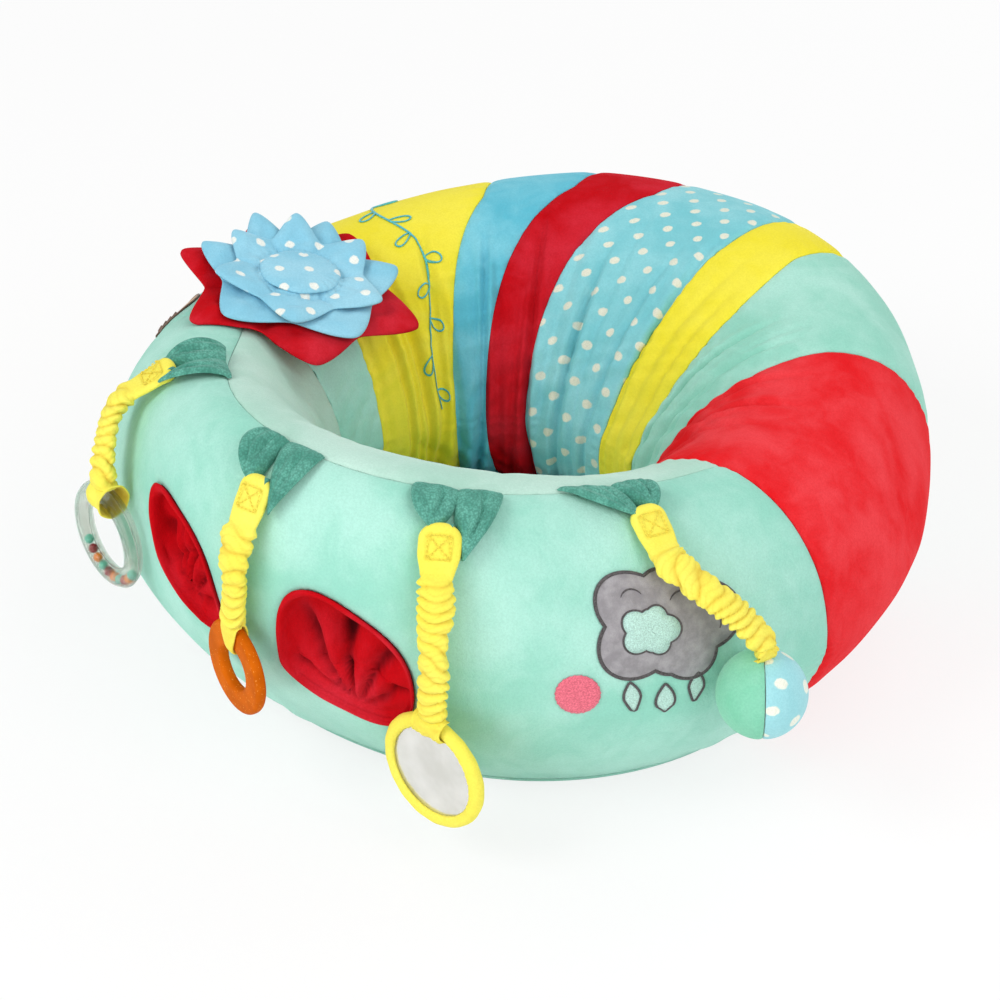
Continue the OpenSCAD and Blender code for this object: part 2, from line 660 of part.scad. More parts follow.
module strap_sleeve_rattle() color(yellow) {
    strap_patch(TAB_RATTLE);
    sleeve(CURVE_RATTLE, tab_x(TAB_RATTLE));
    strap_loop(RATTLE_HANG, RATTLE_TURN, rattle_grip, false);
}
module strap_sleeve_teether() color(yellow) {
    strap_patch(TAB_TEETHER);
    sleeve(CURVE_TEETHER, tab_x(TAB_TEETHER));
    teether_loop();
}
module strap_sleeve_mirror() color(yellow) {
    strap_patch(TAB_MIRROR);
    sleeve(CURVE_MIRROR, tab_x(TAB_MIRROR));
    strap_loop(MIRROR_HANG, MIRROR_TURN, mirror_grip, true);
}
module strap_sleeve_ball() color(yellow) {
    strap_patch(TAB_BALL);
    sleeve(CURVE_BALL, tab_x(TAB_BALL));
    strap_loop(BALL_HANG, TAG_TURN, ball_grip, true);
}
module elastic_rattle() elastic(CURVE_RATTLE, tab_x(TAB_RATTLE));
module elastic_teether() elastic(CURVE_TEETHER, tab_x(TAB_TEETHER));
module elastic_mirror() elastic(CURVE_MIRROR, tab_x(TAB_MIRROR));
module elastic_ball() elastic(CURVE_BALL, tab_x(TAB_BALL));
module leaf_tab_rattle() leaf_tab(TAB_RATTLE);
module leaf_tab_teether() leaf_tab(TAB_TEETHER);
module leaf_tab_mirror() leaf_tab(TAB_MIRROR);
module leaf_tab_ball() leaf_tab(TAB_BALL);

// ---------------------------------------------------------------- toys

rattle_wall = 1.2;
module half_ring(side)
    color([0.85, 0.92, 0.92, 0.4])
    at_toy(RATTLE_AT, RATTLE_TURN)
    rotate_extrude($fn = 96)
    translate([rattle_mid, 0])
    difference() {
        circle(d = rattle_tube_d, $fn = 40);
        circle(d = rattle_tube_d - 2 * rattle_wall, $fn = 40);
        translate([-20, side > 0 ? -40 : 0]) square([40, 40]);
    }
module rattle_ring_front() half_ring(1);
module rattle_ring_back() half_ring(-1);
bead_count = 10;
// Beads lie on the channel's outer wall, gathered at the bottom
bead_path = rattle_mid + rattle_tube_d / 2 - rattle_wall - bead_d / 2 - gap;
bead_pitch = 2 * asin((bead_d + gap) / 2 / bead_path);
module rattle_beads()
    at_toy(RATTLE_AT, RATTLE_TURN)
    for (i = [0 : bead_count - 1])
    color(i % 3 == 0 ? [0.75, 0.15, 0.2] : i % 3 == 1 ? [0.95, 0.6, 0.1] : mint)
    rotate([0, 0, -90 + (i - (bead_count - 1) / 2) * bead_pitch])
    translate([bead_path, 0, 0])
    sphere(d = bead_d, $fn = 24);
teether_round = 2;
module teether_ring()
    color([0.86, 0.45, 0.06])
    at_toy(TEETHER_AT, TEETHER_TURN)
    rotate_extrude($fn = 96)
    translate([(teether_d - teether_band) / 2, 0])
    polygon([for (sx = [0 : 3], t = [0 : 30 : 90])
        let (cx = (sx == 0 || sx == 3 ? 1 : -1) * (teether_band / 2 - teether_round),
            cy = (sx < 2 ? 1 : -1) * (teether_t / 2 - teether_round), q = sx * 90 + t)
        [cx + teether_round * cos(q), cy + teether_round * sin(q)]]);
sheet_t = 1.2;
backing_t = 1.4;
sheet_r = mirror_mid - mirror_tube_d * 0.2;
module mirror_frame()
    color(yellow)
    at_toy(MIRROR_AT, MIRROR_TURN)
    rotate_extrude($fn = 96)
    difference() {
        translate([mirror_mid, 0]) circle(d = mirror_tube_d, $fn = 40);
        translate([0, -backing_t - gap])
        square([sheet_r + gap, sheet_t + backing_t + 2 * gap]);
    }
module mirror_sheet()
    color([0.86, 0.86, 0.84])
    at_toy(MIRROR_AT, MIRROR_TURN)
    translate([0, 0, gap / 2]) cylinder(r = sheet_r, h = sheet_t, $fn = 96);
module mirror_backing()
    color(yellow)
    at_toy(MIRROR_AT, MIRROR_TURN)
    translate([0, 0, gap / 2 - backing_t]) cylinder(r = sheet_r, h = backing_t, $fn = 96);

cover_t = 1.5;
capsule_r = 7;
capsule_h = 16;
module ball_half(side)
    at_toy(BALL_AT, BALL_TURN)
    rotate([0, side * 90, 0])
    rotate_extrude($fn = 72)
    intersection() {
        difference() {
            circle(d = ball_d, $fn = 72);
            circle(d = ball_d - 2 * cover_t, $fn = 72);
        }
        translate([0, gap / 2]) square(ball_d);
    }
module ball_green_half() color([0.45, 0.82, 0.66]) ball_half(-1);
module ball_dotted_half() color(aqua) ball_half(1);
module ball_filling()
    color([0.96, 0.96, 0.94])
    at_toy(BALL_AT, BALL_TURN)
    rotate([-90, 0, 0])
    rotate_extrude($fn = 72)
    difference() {
        intersection() {
            circle(d = ball_d - 2 * cover_t - 2 * gap, $fn = 72);
            translate([0, -ball_d]) square([ball_d, 2 * ball_d]);
        }
        translate([-1, -capsule_h / 2 - gap]) square([1 + capsule_r + gap, ball_d]);
    }
module ball_rattle()
    color([0.92, 0.92, 0.92])
    at_toy(BALL_AT, BALL_TURN)
    rotate([-90, 0, 0]) cylinder(r = capsule_r, h = capsule_h, center = true, $fn = 48);
// Rolled tag sewn to the top of the ball, which the strap holds
module ball_tag()
    color(yellow)
    at_toy(BALL_HANG, TAG_TURN)
    rotate([0, 90, 0])
    linear_extrude(loop_w, center = true)
    union() {
        circle(r = tag_r, $fn = 40);
        translate([-0.8, -tag_r - gap / 2]) square([1.6, tag_r]);
    }

// ---------------------------------------------------------------- flower

FLOWER_A = -83;
FLOWER_PSI = 113;
flower_z = unit([0.137, 0.107, 0.985]);
flower_x = unit(cross(outward(FLOWER_A) * -1, flower_z) * -1);
flower_y = cross(flower_z, flower_x);
roll_r = 4;              // the roll that the flower rocks on
roll_w = 16;
roll_lift = 10;
flower_foot = skin(FLOWER_A, FLOWER_PSI);
flower_axis = flower_foot + [0, 0, roll_lift];
module at_flower(h) in_frame(flower_x, flower_y, flower_z, flower_axis + flower_z * h) children();

red_t = 6;
blue_t = 5;
dotted_t = 5;
centre_t = 4.6;
blue_share = 0.84;
dotted_share = 0.70;
centre_d = 60;
red_low = roll_r + gap;
blue_low = red_low + red_t + gap;
dotted_low = blue_low + blue_t + gap;
centre_low = dotted_low + dotted_t + gap;

// Outline of a layer: pointed petals with rounded valleys
function petal_edge(t, r) = let (q = abs(((t * petals / 360) % 1) - 0.5) * 2)
    r * (0.74 + 0.26 * pow(q, 1.6));
// Height of the ring's skin above the floor at a place on its upper half
function top_z(x, y) = let (
    a = atan2(x, -(y + hollow_shift)),
    r = norm([x, y + hollow_shift]),
    h = ring_h(a),
    zc = belly * h,
    mid = (reach(a) + hollow_r) / 2,
    half = (reach(a) - hollow_r) / 2,
    lean = wave(a, front_lean, side_lean, back_lean),
    z = function (guess) zc + (h - zc)
        * sqrt(max(0, 1 - pow((r - mid - lean * (guess - zc)) / half, 2))))
    z(z(z(h)));
// How far a petal hangs below the flower's plane: it droops, but lies clear of the ring,
// and clearer on the side that dips when the flower rocks
flower_droop = 12;
rock_share = 0.24;
function drape(x, y) = let (
    p = flower_axis + flower_x * x + flower_y * y + flower_z * red_low,
    inner = max(0, -(p - flower_axis) * outward(FLOWER_A)))
    max(-flower_droop * pow(norm([x, y]) / (flower_d / 2), 2),
        top_z(p[0], p[1]) - p[2] + 1.2 + rock_share * inner);
// Padded layer: it swells in the middle, thins towards the tips and may curl up there
module petal_layer(d, low, thick, curl, turn, flat_share) {
    step = 360 / (petals * 6);
    shares = [0.08, flat_share, 0.62, 0.86, 1];
    ring = function (s, over) [for (t = [0 : step : 359.9])
        let (r = petal_edge(t, d / 2) * s, x = r * cos(t + turn), y = r * sin(t + turn),
            rise = curl * pow(max(s - flat_share, 0) / (1 - flat_share), 2),
            swell = over ? thick * (1 - 0.55 * pow(s, 4)) : thick * 0.12 * pow(s, 4))
        [x, y, low + swell + rise + drape(x, y)]];
    at_flower(0)
    rings_solid(concat([for (s = shares) ring(s, false)],
        [for (i = [len(shares) - 1 : -1 : 0]) ring(shares[i], true)]));
}
module flower_anchor()
    color(red)
    in_frame(flower_x, unit(cross(unit(flower_axis - flower_foot), flower_x)),
        unit(flower_axis - flower_foot), flower_axis)
    rotate([0, 90, 0])
    linear_extrude(roll_w, center = true)
    union() {
        circle(r = roll_r, $fn = 40);
        translate([0, -2]) square([roll_lift - 2, 4]);
    }
module flower_red_petals() color(red) petal_layer(flower_d, red_low, red_t, 0, 50, 0.3);
module flower_blue_petals() color(blue)
    petal_layer(flower_d * blue_share, blue_low, blue_t, 3, 6, 0.3);
module flower_dotted_petals() color(aqua)
    petal_layer(flower_d * dotted_share, dotted_low, dotted_t, 7, 35, 0.56);
module flower_centre()
    color(aqua)
    at_flower(centre_low)
    rotate_extrude($fn = 60)
    polygon(concat([[0, 0]], [for (t = [0 : 6]) let (x = 1 - t / 6)
        [centre_d / 2 * x, centre_t * sqrt(1 - x * x * 0.96)]]));

base_panel();
seat_floor_pad();
front_panel();
seat_lip_panel();
red_side_band();
mint_back_band();
yellow_narrow_band();
dotted_back_band();
red_narrow_band();
blue_band();
yellow_wide_band();
mint_left_band();
air_bladder();
valve_seat();
valve_plug();
pocket_lining_left();
pocket_lining_right();
pink_spot();
cloud_applique();
acorn_applique();
zip_tape();
zip_teeth();
zip_slider();
zip_pull();
leaf_tab_rattle();
leaf_tab_teether();
leaf_tab_mirror();
leaf_tab_ball();
strap_sleeve_rattle();
strap_sleeve_teether();
strap_sleeve_mirror();
strap_sleeve_ball();
elastic_rattle();
elastic_teether();
elastic_mirror();
elastic_ball();
rattle_ring_front();
rattle_ring_back();
rattle_beads();
teether_ring();
mirror_frame();
mirror_sheet();
mirror_backing();
ball_green_half();
ball_dotted_half();
ball_filling();
ball_rattle();
ball_tag();
flower_anchor();
flower_red_petals();
flower_blue_petals();
flower_dotted_petals();
flower_centre();
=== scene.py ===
"""Baby floor seat: the velour cover, straps, toys and flower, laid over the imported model.

Shapes are worked out in millimetres and degrees and put into meshes in metres. +Z is up and
the front of the seat faces -Y. Round the ring, "a" is the angle from the front, growing
towards +X. Round its section, "psi" is 0 at the outer wall, 90 on top, 180 in the hollow.
"""

import math

import bmesh
import bpy
import numpy as np
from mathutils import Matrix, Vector


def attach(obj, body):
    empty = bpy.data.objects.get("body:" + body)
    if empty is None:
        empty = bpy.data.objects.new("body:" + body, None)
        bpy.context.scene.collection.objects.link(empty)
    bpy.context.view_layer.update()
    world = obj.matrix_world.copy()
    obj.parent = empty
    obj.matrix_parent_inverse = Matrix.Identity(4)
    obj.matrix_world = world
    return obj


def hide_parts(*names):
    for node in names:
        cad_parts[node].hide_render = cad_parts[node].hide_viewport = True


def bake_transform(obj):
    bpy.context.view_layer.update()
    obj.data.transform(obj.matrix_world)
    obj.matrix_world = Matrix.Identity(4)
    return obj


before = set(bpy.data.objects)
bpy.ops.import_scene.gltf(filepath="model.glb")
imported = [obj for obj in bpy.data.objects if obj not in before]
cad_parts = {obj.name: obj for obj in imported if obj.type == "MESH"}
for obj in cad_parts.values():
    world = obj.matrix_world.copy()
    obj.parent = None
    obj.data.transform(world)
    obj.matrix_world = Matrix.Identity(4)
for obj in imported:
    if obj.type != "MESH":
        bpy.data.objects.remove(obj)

bl_info = {
    "name": "Baby floor seat",
    "version": (1, 0, 0),
    "blender": (4, 5, 0),
    "location": "View3D > Sidebar > Floor seat",
    "description": "Builds the cover, straps, toys and flower of a baby floor seat",
    "category": "Object",
}

R2D = 180 / math.pi
WHITE, BLACK = (1, 1, 1), (0, 0, 0)

# Bands round the cover: name, seam that each starts at, and colour. A seam is its angle from
# the front, and how far it sweeps towards the hollow
BANDS = (
    ("red_side_band", (88, 4), "red"),
    ("mint_back_band", (131, 3), "mint"),
    ("yellow_narrow_band", (159, 8), "yellow"),
    ("dotted_back_band", (170, -1), "dotted"),
    ("red_narrow_band", (190.5, -15.5), "deep_red"),
    ("blue_band", (204, -17), "blue"),
    ("yellow_wide_band", (220, -12.5), "yellow"),
    ("mint_left_band", (259.5, -5.5), "mint"),
)
# All the seams: the front's first one, the bands', and the first one again
SEAMS = ((-70, 0), *(seam for _, seam, _ in BANDS), (290, 0))
SLOT_OF = {
    "mint": "mint_velour", "pale": "pale_mint_velour", "red": "red_velour",
    "deep_red": "red_velour", "yellow": "yellow_velour", "blue": "blue_velour",
    "dotted": "dotted_aqua_velour",
}
# Strong folds at the foot of the bands: angle, start, share of the depth, half width, slant
STRONG_FOLDS = (
    (206.5, 96, 1.5, 3.2, -2), (236, 92, 1.4, 4.5, 3), (245, 104, 1.5, 4.0, -2),
    (221, 100, 1.3, 3.0, 2), (192.5, 112, 1.2, 2.8, 1), (118, 84, 1.1, 4.2, 5),
    (110, 92, 0.9, 4.6, 6), (126, 88, 1.0, 3.6, 3), (139, 92, 1.0, 3.8, 4),
    (147, 100, 1.1, 3.4, 4),
)
# Pockets: centre (a, psi), half length, half width and tilt of the mouth
POCKET_LEFT = (-12.5, 18.5, 50, 28, -42)
POCKET_RIGHT = (17, 2, 58, 48, -30)
# Folds of a pocket's bag: direction from its gathered corner, depth and half width
BAG_FOLDS = ((-49, 8, 6), (-24, 10, 6), (2, 13, 6.5), (27, 10, 6), (50, 7, 6))
# Leaf tabs: place of the sewn edge (a), place of the tip (a, psi)
TAB_RATTLE = (-35.8, -36, 74)
TAB_TEETHER = (2.5, 2, 60)
TAB_MIRROR = (33, 31, 60)
TAB_BALL = (61, 64, 70)
# Blades of each leaf: root (x, half width), tip (x, y, lift, half width), arch, curl, twist, bow
LEAVES = {
    "rattle": (TAB_RATTLE, (((-12, 15), (-5, 0, 4.8, 7), 8.5, 2.6, -1.2, -3),
                            ((12, 15), (13, -8, 5.2, 3.4), 5.0, 1.4, 0.9, 2))),
    "teether": (TAB_TEETHER, (((-12, 13), (-6, 1, 4.8, 7.5), 8.5, 3.0, -1.4, -4),
                              ((11, 15), (14.5, -12, 5.6, 3.0), 5.4, 1.4, 1.0, 1))),
    "mirror": (TAB_MIRROR, (((-14, 15), (-6, 2, 4.8, 9), 6.0, 2.0, -1.0, -1),
                            ((13, 15), (14, -13, 5.4, 3.4), 6.6, 2.4, 1.2, 1))),
    "ball": (TAB_BALL, (((-18, 19), (-7, -2, 5.0, 7), 5.6, 1.6, -0.9, -2),
                        ((12, 14), (6, 2, 5.0, 7), 8.5, 2.6, 1.2, 0))),
}
HINGE_LIFT = 5.8      # the strap's hinge above the plain ring
PATCH_LEN = 30        # stitched patch, from its top edge to the sleeve
PATCH_MID = 11.5      # from the hinge down to the middle of the stitched box
BOX_HALF = 7.6        # half width of the stitched box
LOOP_T = 2.2          # cloth of a strap's loop
# Places on the cover (a, psi)
SPOT_AT, CLOUD_AT, ACORN_AT, SPRIG_AT = (50, 7), (63, 30), (-78, 46), (237, 116)
FLOWER_AT = (-83.0, 113.0)
# Toys: ring's tube centre, tube and bore radii; teether's radii; mirror's; ball's
RATTLE_R, RATTLE_TUBE, RATTLE_BORE = 32, 6.5, 5.3
TEETHER_R, TEETHER_HOLE, TEETHER_HALF_T = 33.5, 16, 4
MIRROR_R, MIRROR_TUBE, MIRROR_BACK_R = 37, 5, 34.7
BALL_R = 30.0


# ------------------------------------------------------------------ sizes and colours

def length(name, description, default):
    """A length in metres that a user may change."""
    return bpy.props.FloatProperty(name=name, description=description, default=default,
                                   min=0, precision=4, subtype="DISTANCE", unit="LENGTH")


def colour(name, description, rgb):
    """A display colour, as it looks on screen."""
    return bpy.props.FloatVectorProperty(
        name=name, description=description, default=[v / 255 for v in rgb], min=0, max=1,
        size=3, subtype="COLOR_GAMMA")


class FloorSeatSizes(bpy.types.PropertyGroup):
    """Real sizes of the seat, the same as the solid model's."""

    seat_d: length("Seat diameter", "Diameter of the seat at its widest", 0.590)
    hollow_d: length("Hollow diameter", "Diameter of the hollow at its narrowest", 0.222)
    hollow_shift: length("Hollow shift", "How far the hollow lies in front of the middle", 0.031)
    front_h: length("Front height", "Height of the ring at the front", 0.258)
    side_h: length("Side height", "Height of the ring at its sides", 0.212)
    back_h: length("Back height", "Height of the ring at the back", 0.226)
    floor_pad_h: length("Floor pad height", "Depth of the padded floor in the hollow", 0.062)
    cloth_t: length("Cloth thickness", "Thickness of a velour panel", 0.0024)
    pocket_depth: length("Pocket depth", "Depth of the two toy pockets", 0.024)
    fold_depth: length("Fold depth", "Depth of the folds where the cover is drawn in", 0.0062)
    seam_dip: length("Seam dip", "How far the cover sinks in at a seam", 0.0024)
    band_dot: length("Band dot", "Diameter of a printed dot on the aqua band", 0.0068)
    flower_dot: length("Flower dot", "Diameter of a printed dot on the flower", 0.0070)
    ball_dot: length("Ball dot", "Diameter of a printed dot on the ball", 0.0095)


class FloorSeatColours(bpy.types.PropertyGroup):
    """Colours of the fabrics and plastics."""

    mint: colour("Mint", "Mint velour of the front and back", (165, 223, 206))
    pale: colour("Pale mint", "Paler velour of the lip", (187, 224, 209))
    red: colour("Red", "Bright red velour of the side", (236, 36, 44))
    deep_red: colour("Deep red", "Red velour of the narrow band, pockets and flower",
                     (204, 6, 26))
    yellow: colour("Yellow", "Yellow velour", (246, 232, 62))
    blue: colour("Blue", "Light blue velour", (112, 200, 219))
    aqua: colour("Aqua", "Ground of the dotted velour", (138, 210, 218))
    dots: colour("Dots", "Cream print dots", (232, 232, 214))
    leaf: colour("Leaf green", "Terry of the leaf tabs", (92, 172, 152))
    petal: colour("Petal blue", "Light blue velour of the flower", (146, 208, 230))
    pink: colour("Pink", "Embroidered spot", (242, 98, 122))
    grey: colour("Grey", "Felt of the cloud", (158, 154, 158))
    charcoal: colour("Charcoal", "Outline thread", (62, 56, 58))
    tan: colour("Tan", "Felt of the acorn", (214, 178, 132))
    brown: colour("Brown", "Cap and outline of the acorn", (128, 84, 56))
    orange: colour("Orange", "Rubber teether", (206, 96, 0))


# ------------------------------------------------------------------ small maths

def sin(x):
    """Sine of degrees."""
    return np.sin(np.radians(x))


def cos(x):
    """Cosine of degrees."""
    return np.cos(np.radians(x))


def mix(p, q, t):
    """From p at t = 0 to q at t = 1, in a straight line."""
    return p + (q - p) * t


def ease(t):
    """Smooth step from 0 at t = 0 to 1 at t = 1."""
    t = np.clip(t, 0, 1)
    return t * t * (3 - 2 * t)


def unit(v):
    """Each vector over its own length."""
    return v / np.linalg.norm(v, axis=-1, keepdims=True)


def stack(x, y, z):
    """Points from three arrays of like or spreading shapes."""
    return np.stack(np.broadcast_arrays(x, y, z), -1)


def signed_pow(x, p):
    """x's size to a power, with x's sign."""
    return np.sign(x) * np.abs(x) ** p


def turns(step):
    """Angles of a full turn, a step apart."""
    return np.arange(0, 360, step)


def bell(x):
    """1 at x = 0, falling off to both sides: e to the power of minus x squared."""
    return np.exp(-x ** 2)


def ripple(p, wave, seed, count=7):
    """Smooth noise, about -1 to 1: sine waves in seeded directions through the points."""
    rng = np.random.default_rng(seed)
    k = unit(rng.normal(size=(count, 3))) * rng.uniform(0.7, 1.4, (count, 1)) * 2 * math.pi / wave
    return np.sin(p @ k.T + rng.uniform(0, 6.28, count)).sum(-1) * 1.5 / count


def stops(span, step):
    """Positions from 0 to 1 along a span in mm, a step apart and closer near both ends."""
    edge = np.array([0, 0.7, 1.6, 2.8, 4.4, 6.5]) * min(1, span / 20)
    count = max(2, round((span - 2 * edge[-1]) / step))
    middle = np.linspace(edge[-1], span - edge[-1], count + 1)
    return np.concatenate([edge[:-1], middle, span - edge[-2::-1]]) / span


def tangent(a):
    """Level direction along the ring at an angle."""
    return np.array([cos(a), sin(a), 0.0])


def outward(a):
    """Level direction out of the ring at an angle."""
    return np.array([sin(a), -cos(a), 0.0])


class Place:
    """A right-handed frame: its axes x, y, z and its origin, in mm."""

    def __init__(self, x, y, z, o):
        self.x, self.y, self.z, self.o = (np.asarray(v, float) for v in (x, y, z, o))

    def __call__(self, p):
        """Points from the frame's own x, y, z."""
        return self.o + p[..., :1] * self.x + p[..., 1:2] * self.y + p[..., 2:] * self.z


# ------------------------------------------------------------------ the ring's surface

def seam_a(seam, psi):
    """Angle of a band seam at a section angle: it sweeps sideways towards the hollow."""
    c = cos(psi)
    return seam[0] + seam[1] * (np.minimum(c, 0) + 0.3 * np.maximum(c, 0))


def top_seam(a):
    """Section angle where the front panel meets the lip."""
    return 65 + 5 * sin(a) + 43 * cos(a) - 13 * sin(2 * a) - 21 * cos(2 * a)


class Seat:
    """The inflated ring and the cloth on it, from the sizes in the panel."""

    belly = 0.46                        # height of the widest place, as a share of the ring's
    settle = 0.08                       # how far the section would reach under the floor
    top_round, low_round = 2.0, 1.5     # powers of the section's curve above and below
    base_t, gap = 2.5, 0.3              # the underside's thickness, and clearance on it
    lean_front, lean_side, lean_back = 0.18, 0.02, 0.40

    def __init__(self, scene):
        self.size, self.paint = scene.floor_seat_sizes, scene.floor_seat_colours
        self.mm = mm = {k: getattr(self.size, k) * 1000 for k in FloorSeatSizes.__annotations__}
        self.r, self.hollow, self.shift = mm["seat_d"] / 2, mm["hollow_d"] / 2, mm["hollow_shift"]
        # Millimetres for one degree on the front wall, round the ring and up its section
        self.around = (self.r - self.shift) / R2D
        self.section = mm["front_h"] / 120
        rng = np.random.default_rng(11)
        places = np.arange(96, 262, 7.5)
        places = places + rng.uniform(-2.4, 2.4, len(places))
        self.folds = [(c, 100 + rng.uniform(-12, 22), rng.uniform(0.4, 1.0),
                       rng.uniform(2.6, 4.4), rng.uniform(-3, 3)) for c in places]
        self.folds += STRONG_FOLDS

    def wave(self, a, front, side, back):
        """A value that is given in front, at the sides and behind, as two cosines."""
        m = (front + back) / 2
        return (m + side) / 2 + (front - back) / 2 * cos(a) + (m - side) / 2 * cos(2 * a)

    def height(self, a):
        """Top of the ring above the floor."""
        return self.wave(a, self.mm["front_h"], self.mm["side_h"], self.mm["back_h"])

    def lean(self, a):
        """How far the section moves out for each mm up."""
        return self.wave(a, self.lean_front, self.lean_side, self.lean_back)

    def reach(self, a):
        """From the hollow's middle to the outer circle, whose middle lies behind it."""
        return np.sqrt(self.r ** 2 - (self.shift * sin(a)) ** 2) - self.shift * cos(a)

    def skin(self, a, psi, inset=0, low=0):
        """Superellipse section that leans outwards, carried round the shifted hollow."""
        far, h = self.reach(a), self.height(a)
        zc = self.belly * h
        upper = sin(psi) > 0
        p = 2 / np.where(upper, self.top_round, self.low_round)
        u = signed_pow(cos(psi), p) * ((far - self.hollow) / 2 - inset)
        v = signed_pow(sin(psi), p)
        z = zc + v * np.where(upper, h - zc - inset, zc * (1 + self.settle) - inset)
        r = (far + self.hollow) / 2 + u + self.lean(a) * (z - zc)
        return stack(r * sin(a), -self.shift - r * cos(a), np.maximum(z, low))

    def normal(self, a, psi):
        """Direction out of the ring, square to its slopes in a and psi."""
        def slope(da, dp):
            """Difference across a small step to both sides."""
            return self.skin(a + da, psi + dp, 0, -99) - self.skin(a - da, psi - dp, 0, -99)
        return unit(np.cross(slope(0.6, 0), slope(0, 0.6)))

    def from_hollow(self, p):
        """Level distance from the hollow's middle."""
        return np.hypot(p[..., 0], p[..., 1] + self.shift)

    def per_degree(self, a, psi):
        """Millimetres along the section for one degree of psi."""
        return np.linalg.norm(self.skin(a, psi + 1) - self.skin(a, psi - 1), axis=-1) / 2

    def edge_psi(self, a):
        """How far below the outer wall's 0 the cover meets the underside."""
        low = (1 - (self.base_t + self.gap) / (self.belly * self.height(a))) / (1 + self.settle)
        return np.degrees(np.arcsin(low ** (self.low_round / 2)))

    def pocket_at(self, p, share, t):
        """(a, psi) at a share of the pocket's mouth, in direction t."""
        tilt, share = p[4], share * self.mouth(t)
        x, y = p[3] * share * cos(t), p[2] * share * sin(t)
        return (p[0] + (x * cos(tilt) + y * sin(tilt)) / self.around,
                p[1] + (-x * sin(tilt) + y * cos(tilt)) / self.section)

    def pocket_share(self, p, a, psi):
        """How far a place lies from the pocket's middle: 1 at its rim; and its direction."""
        tilt, x, y = p[4], (a - p[0]) * self.around, (psi - p[1]) * self.section
        u, v = (x * cos(tilt) - y * sin(tilt)) / p[3], (x * sin(tilt) + y * cos(tilt)) / p[2]
        t = np.degrees(np.arctan2(v, u))
        return np.hypot(u, v) / self.mouth(t), t

    def mouth(self, t):
        """Outline of a pocket's mouth against its oval: drawn to a point at both ends."""
        return 1 + 0.07 * np.abs(sin(t)) ** 3 - 0.085 * sin(2 * t) ** 2

    def sewn(self, d, s, dip, pucker, reach, drift):
        """Dip at a distance d from a seam, and small puckers beside it that waver along s."""
        return -dip * self.mm["seam_dip"] * np.exp(-d / 3.4) + pucker * np.exp(-d / reach) * (
            1 - np.exp(-d / 3.0)) * np.sin(s / 2.4 + 2 * np.sin(drift))

    def relief(self, a, psi, p):
        """How far the cloth stands off the plain ring at skin points p, in mm.

        Broad swells, a dip along each seam with small puckers beside it, folds where the
        cover is drawn into the hollow, and pull lines on the lip.
        """
        a = (a + 70.001) % 360 - 70.001
        r = self.from_hollow(p)
        s = a * r / R2D
        front = ease((88 - np.abs(a - 9)) / 20)
        rise = (mix(1.5, 0.6, front) * ripple(p, 170, 3) + mix(0.5, 0.25, front) * ripple(p, 62, 4)
                - 0.5 * front)
        for k, seam in enumerate(SEAMS[:-1]):
            d = np.abs((a - seam_a(seam, psi) + 180) % 360 - 180) / R2D * r
            rise = rise + self.sewn(d, psi * 2.1, 1, 0.8, 9, psi * 2.1 / 19 + k)
        on_front = ease((a + 74) / 3) * ease((92 - a) / 3)
        d = np.abs(psi - top_seam(a)) * 1.45
        rise = rise + on_front * self.sewn(d, s, 0.8, 0.6, 8, s / 23)
        # Pull lines that run over the lip into the hollow
        lip = on_front * ease((psi - top_seam(a) - 4) / 22) * ease((a + 68) / 14)
        rise = rise + lip * 0.9 * ripple(stack(s, psi * 0.16, 0 * s), 15, 9) * (
            0.6 + 0.4 * ripple(p, 90, 5))
        # Folds drawn in towards the hollow: a valley with a low swell on both sides
        deep = self.mm["fold_depth"]
        for c, start, share, half, slant in self.folds:
            x = (a - c - slant * (psi - 150) / 60) / R2D * r
            on = ease((psi - start) / 34)
            rise = rise - deep * share * on * (bell(x / half) - 0.55 * bell(x / (2.6 * half)))
        # Fine creases between the folds, sharp at their bottoms
        fine = np.abs(ripple(stack(s, psi * 0.22, 0 * s), 38, 21))
        rise = rise + ease((psi - 92) / 45) * ease((a - 88) / 20) * 2.4 * (fine ** 0.8 - 0.45)
        # Swells and creases that run up from the floor, where the cover is gathered to the base
        foot = ease((-psi - 18) / 40)
        rise = rise + foot * 1.1 * ripple(stack(s, psi * 0.25, 0 * s), 34, 29)
        hem = ease((-psi - 26) / 22) * ease(ripple(p, 150, 31) * 1.6 + 0.35)
        rise = rise - hem * 2.0 * np.abs(ripple(stack(s, psi * 0.2, 0 * s), 19, 33)) ** 1.4
        # A dip round the mouth of each pocket
        for pocket in (POCKET_LEFT, POCKET_RIGHT):
            share, _ = self.pocket_share(pocket, a, psi)
            rise = rise - 2.2 * np.exp(-np.abs(share - 1) * pocket[3] / 3.0)
        return rise * ease((p[..., 2] - 3) / 16)

    def cover(self, a, psi, lift=0):
        """Points of the cloth's outer face, raised by lift mm."""
        a, psi = np.broadcast_arrays(np.asarray(a, float), np.asarray(psi, float))
        p = self.skin(a, psi)
        out = p + self.normal(a, psi) * (self.relief(a, psi, p) + lift)[..., None]
        out[..., 2] = np.maximum(out[..., 2], 0)
        return out

    def beside(self, a, psi, x, y, z):
        """Cloth points x mm round the ring, y mm up the section and z mm off (a, psi)."""
        at = self.skin(a, psi)
        return self.cover(a + x / self.from_hollow(at) * R2D, psi + y / self.per_degree(a, psi),
                          z)


# ------------------------------------------------------------------ meshes

def quads(n, m, wrap_n=False, wrap_m=False):
    """Corner indices of an n by m grid's faces, closed over in either direction."""
    i = np.arange(n if wrap_n else n - 1)[:, None]
    j = np.arange(m if wrap_m else m - 1)[None, :]
    i2, j2 = (i + 1) % n, (j + 1) % m
    return np.stack([i * m + j, i2 * m + j, i2 * m + j2, i * m + j2], -1).reshape(-1, 4)


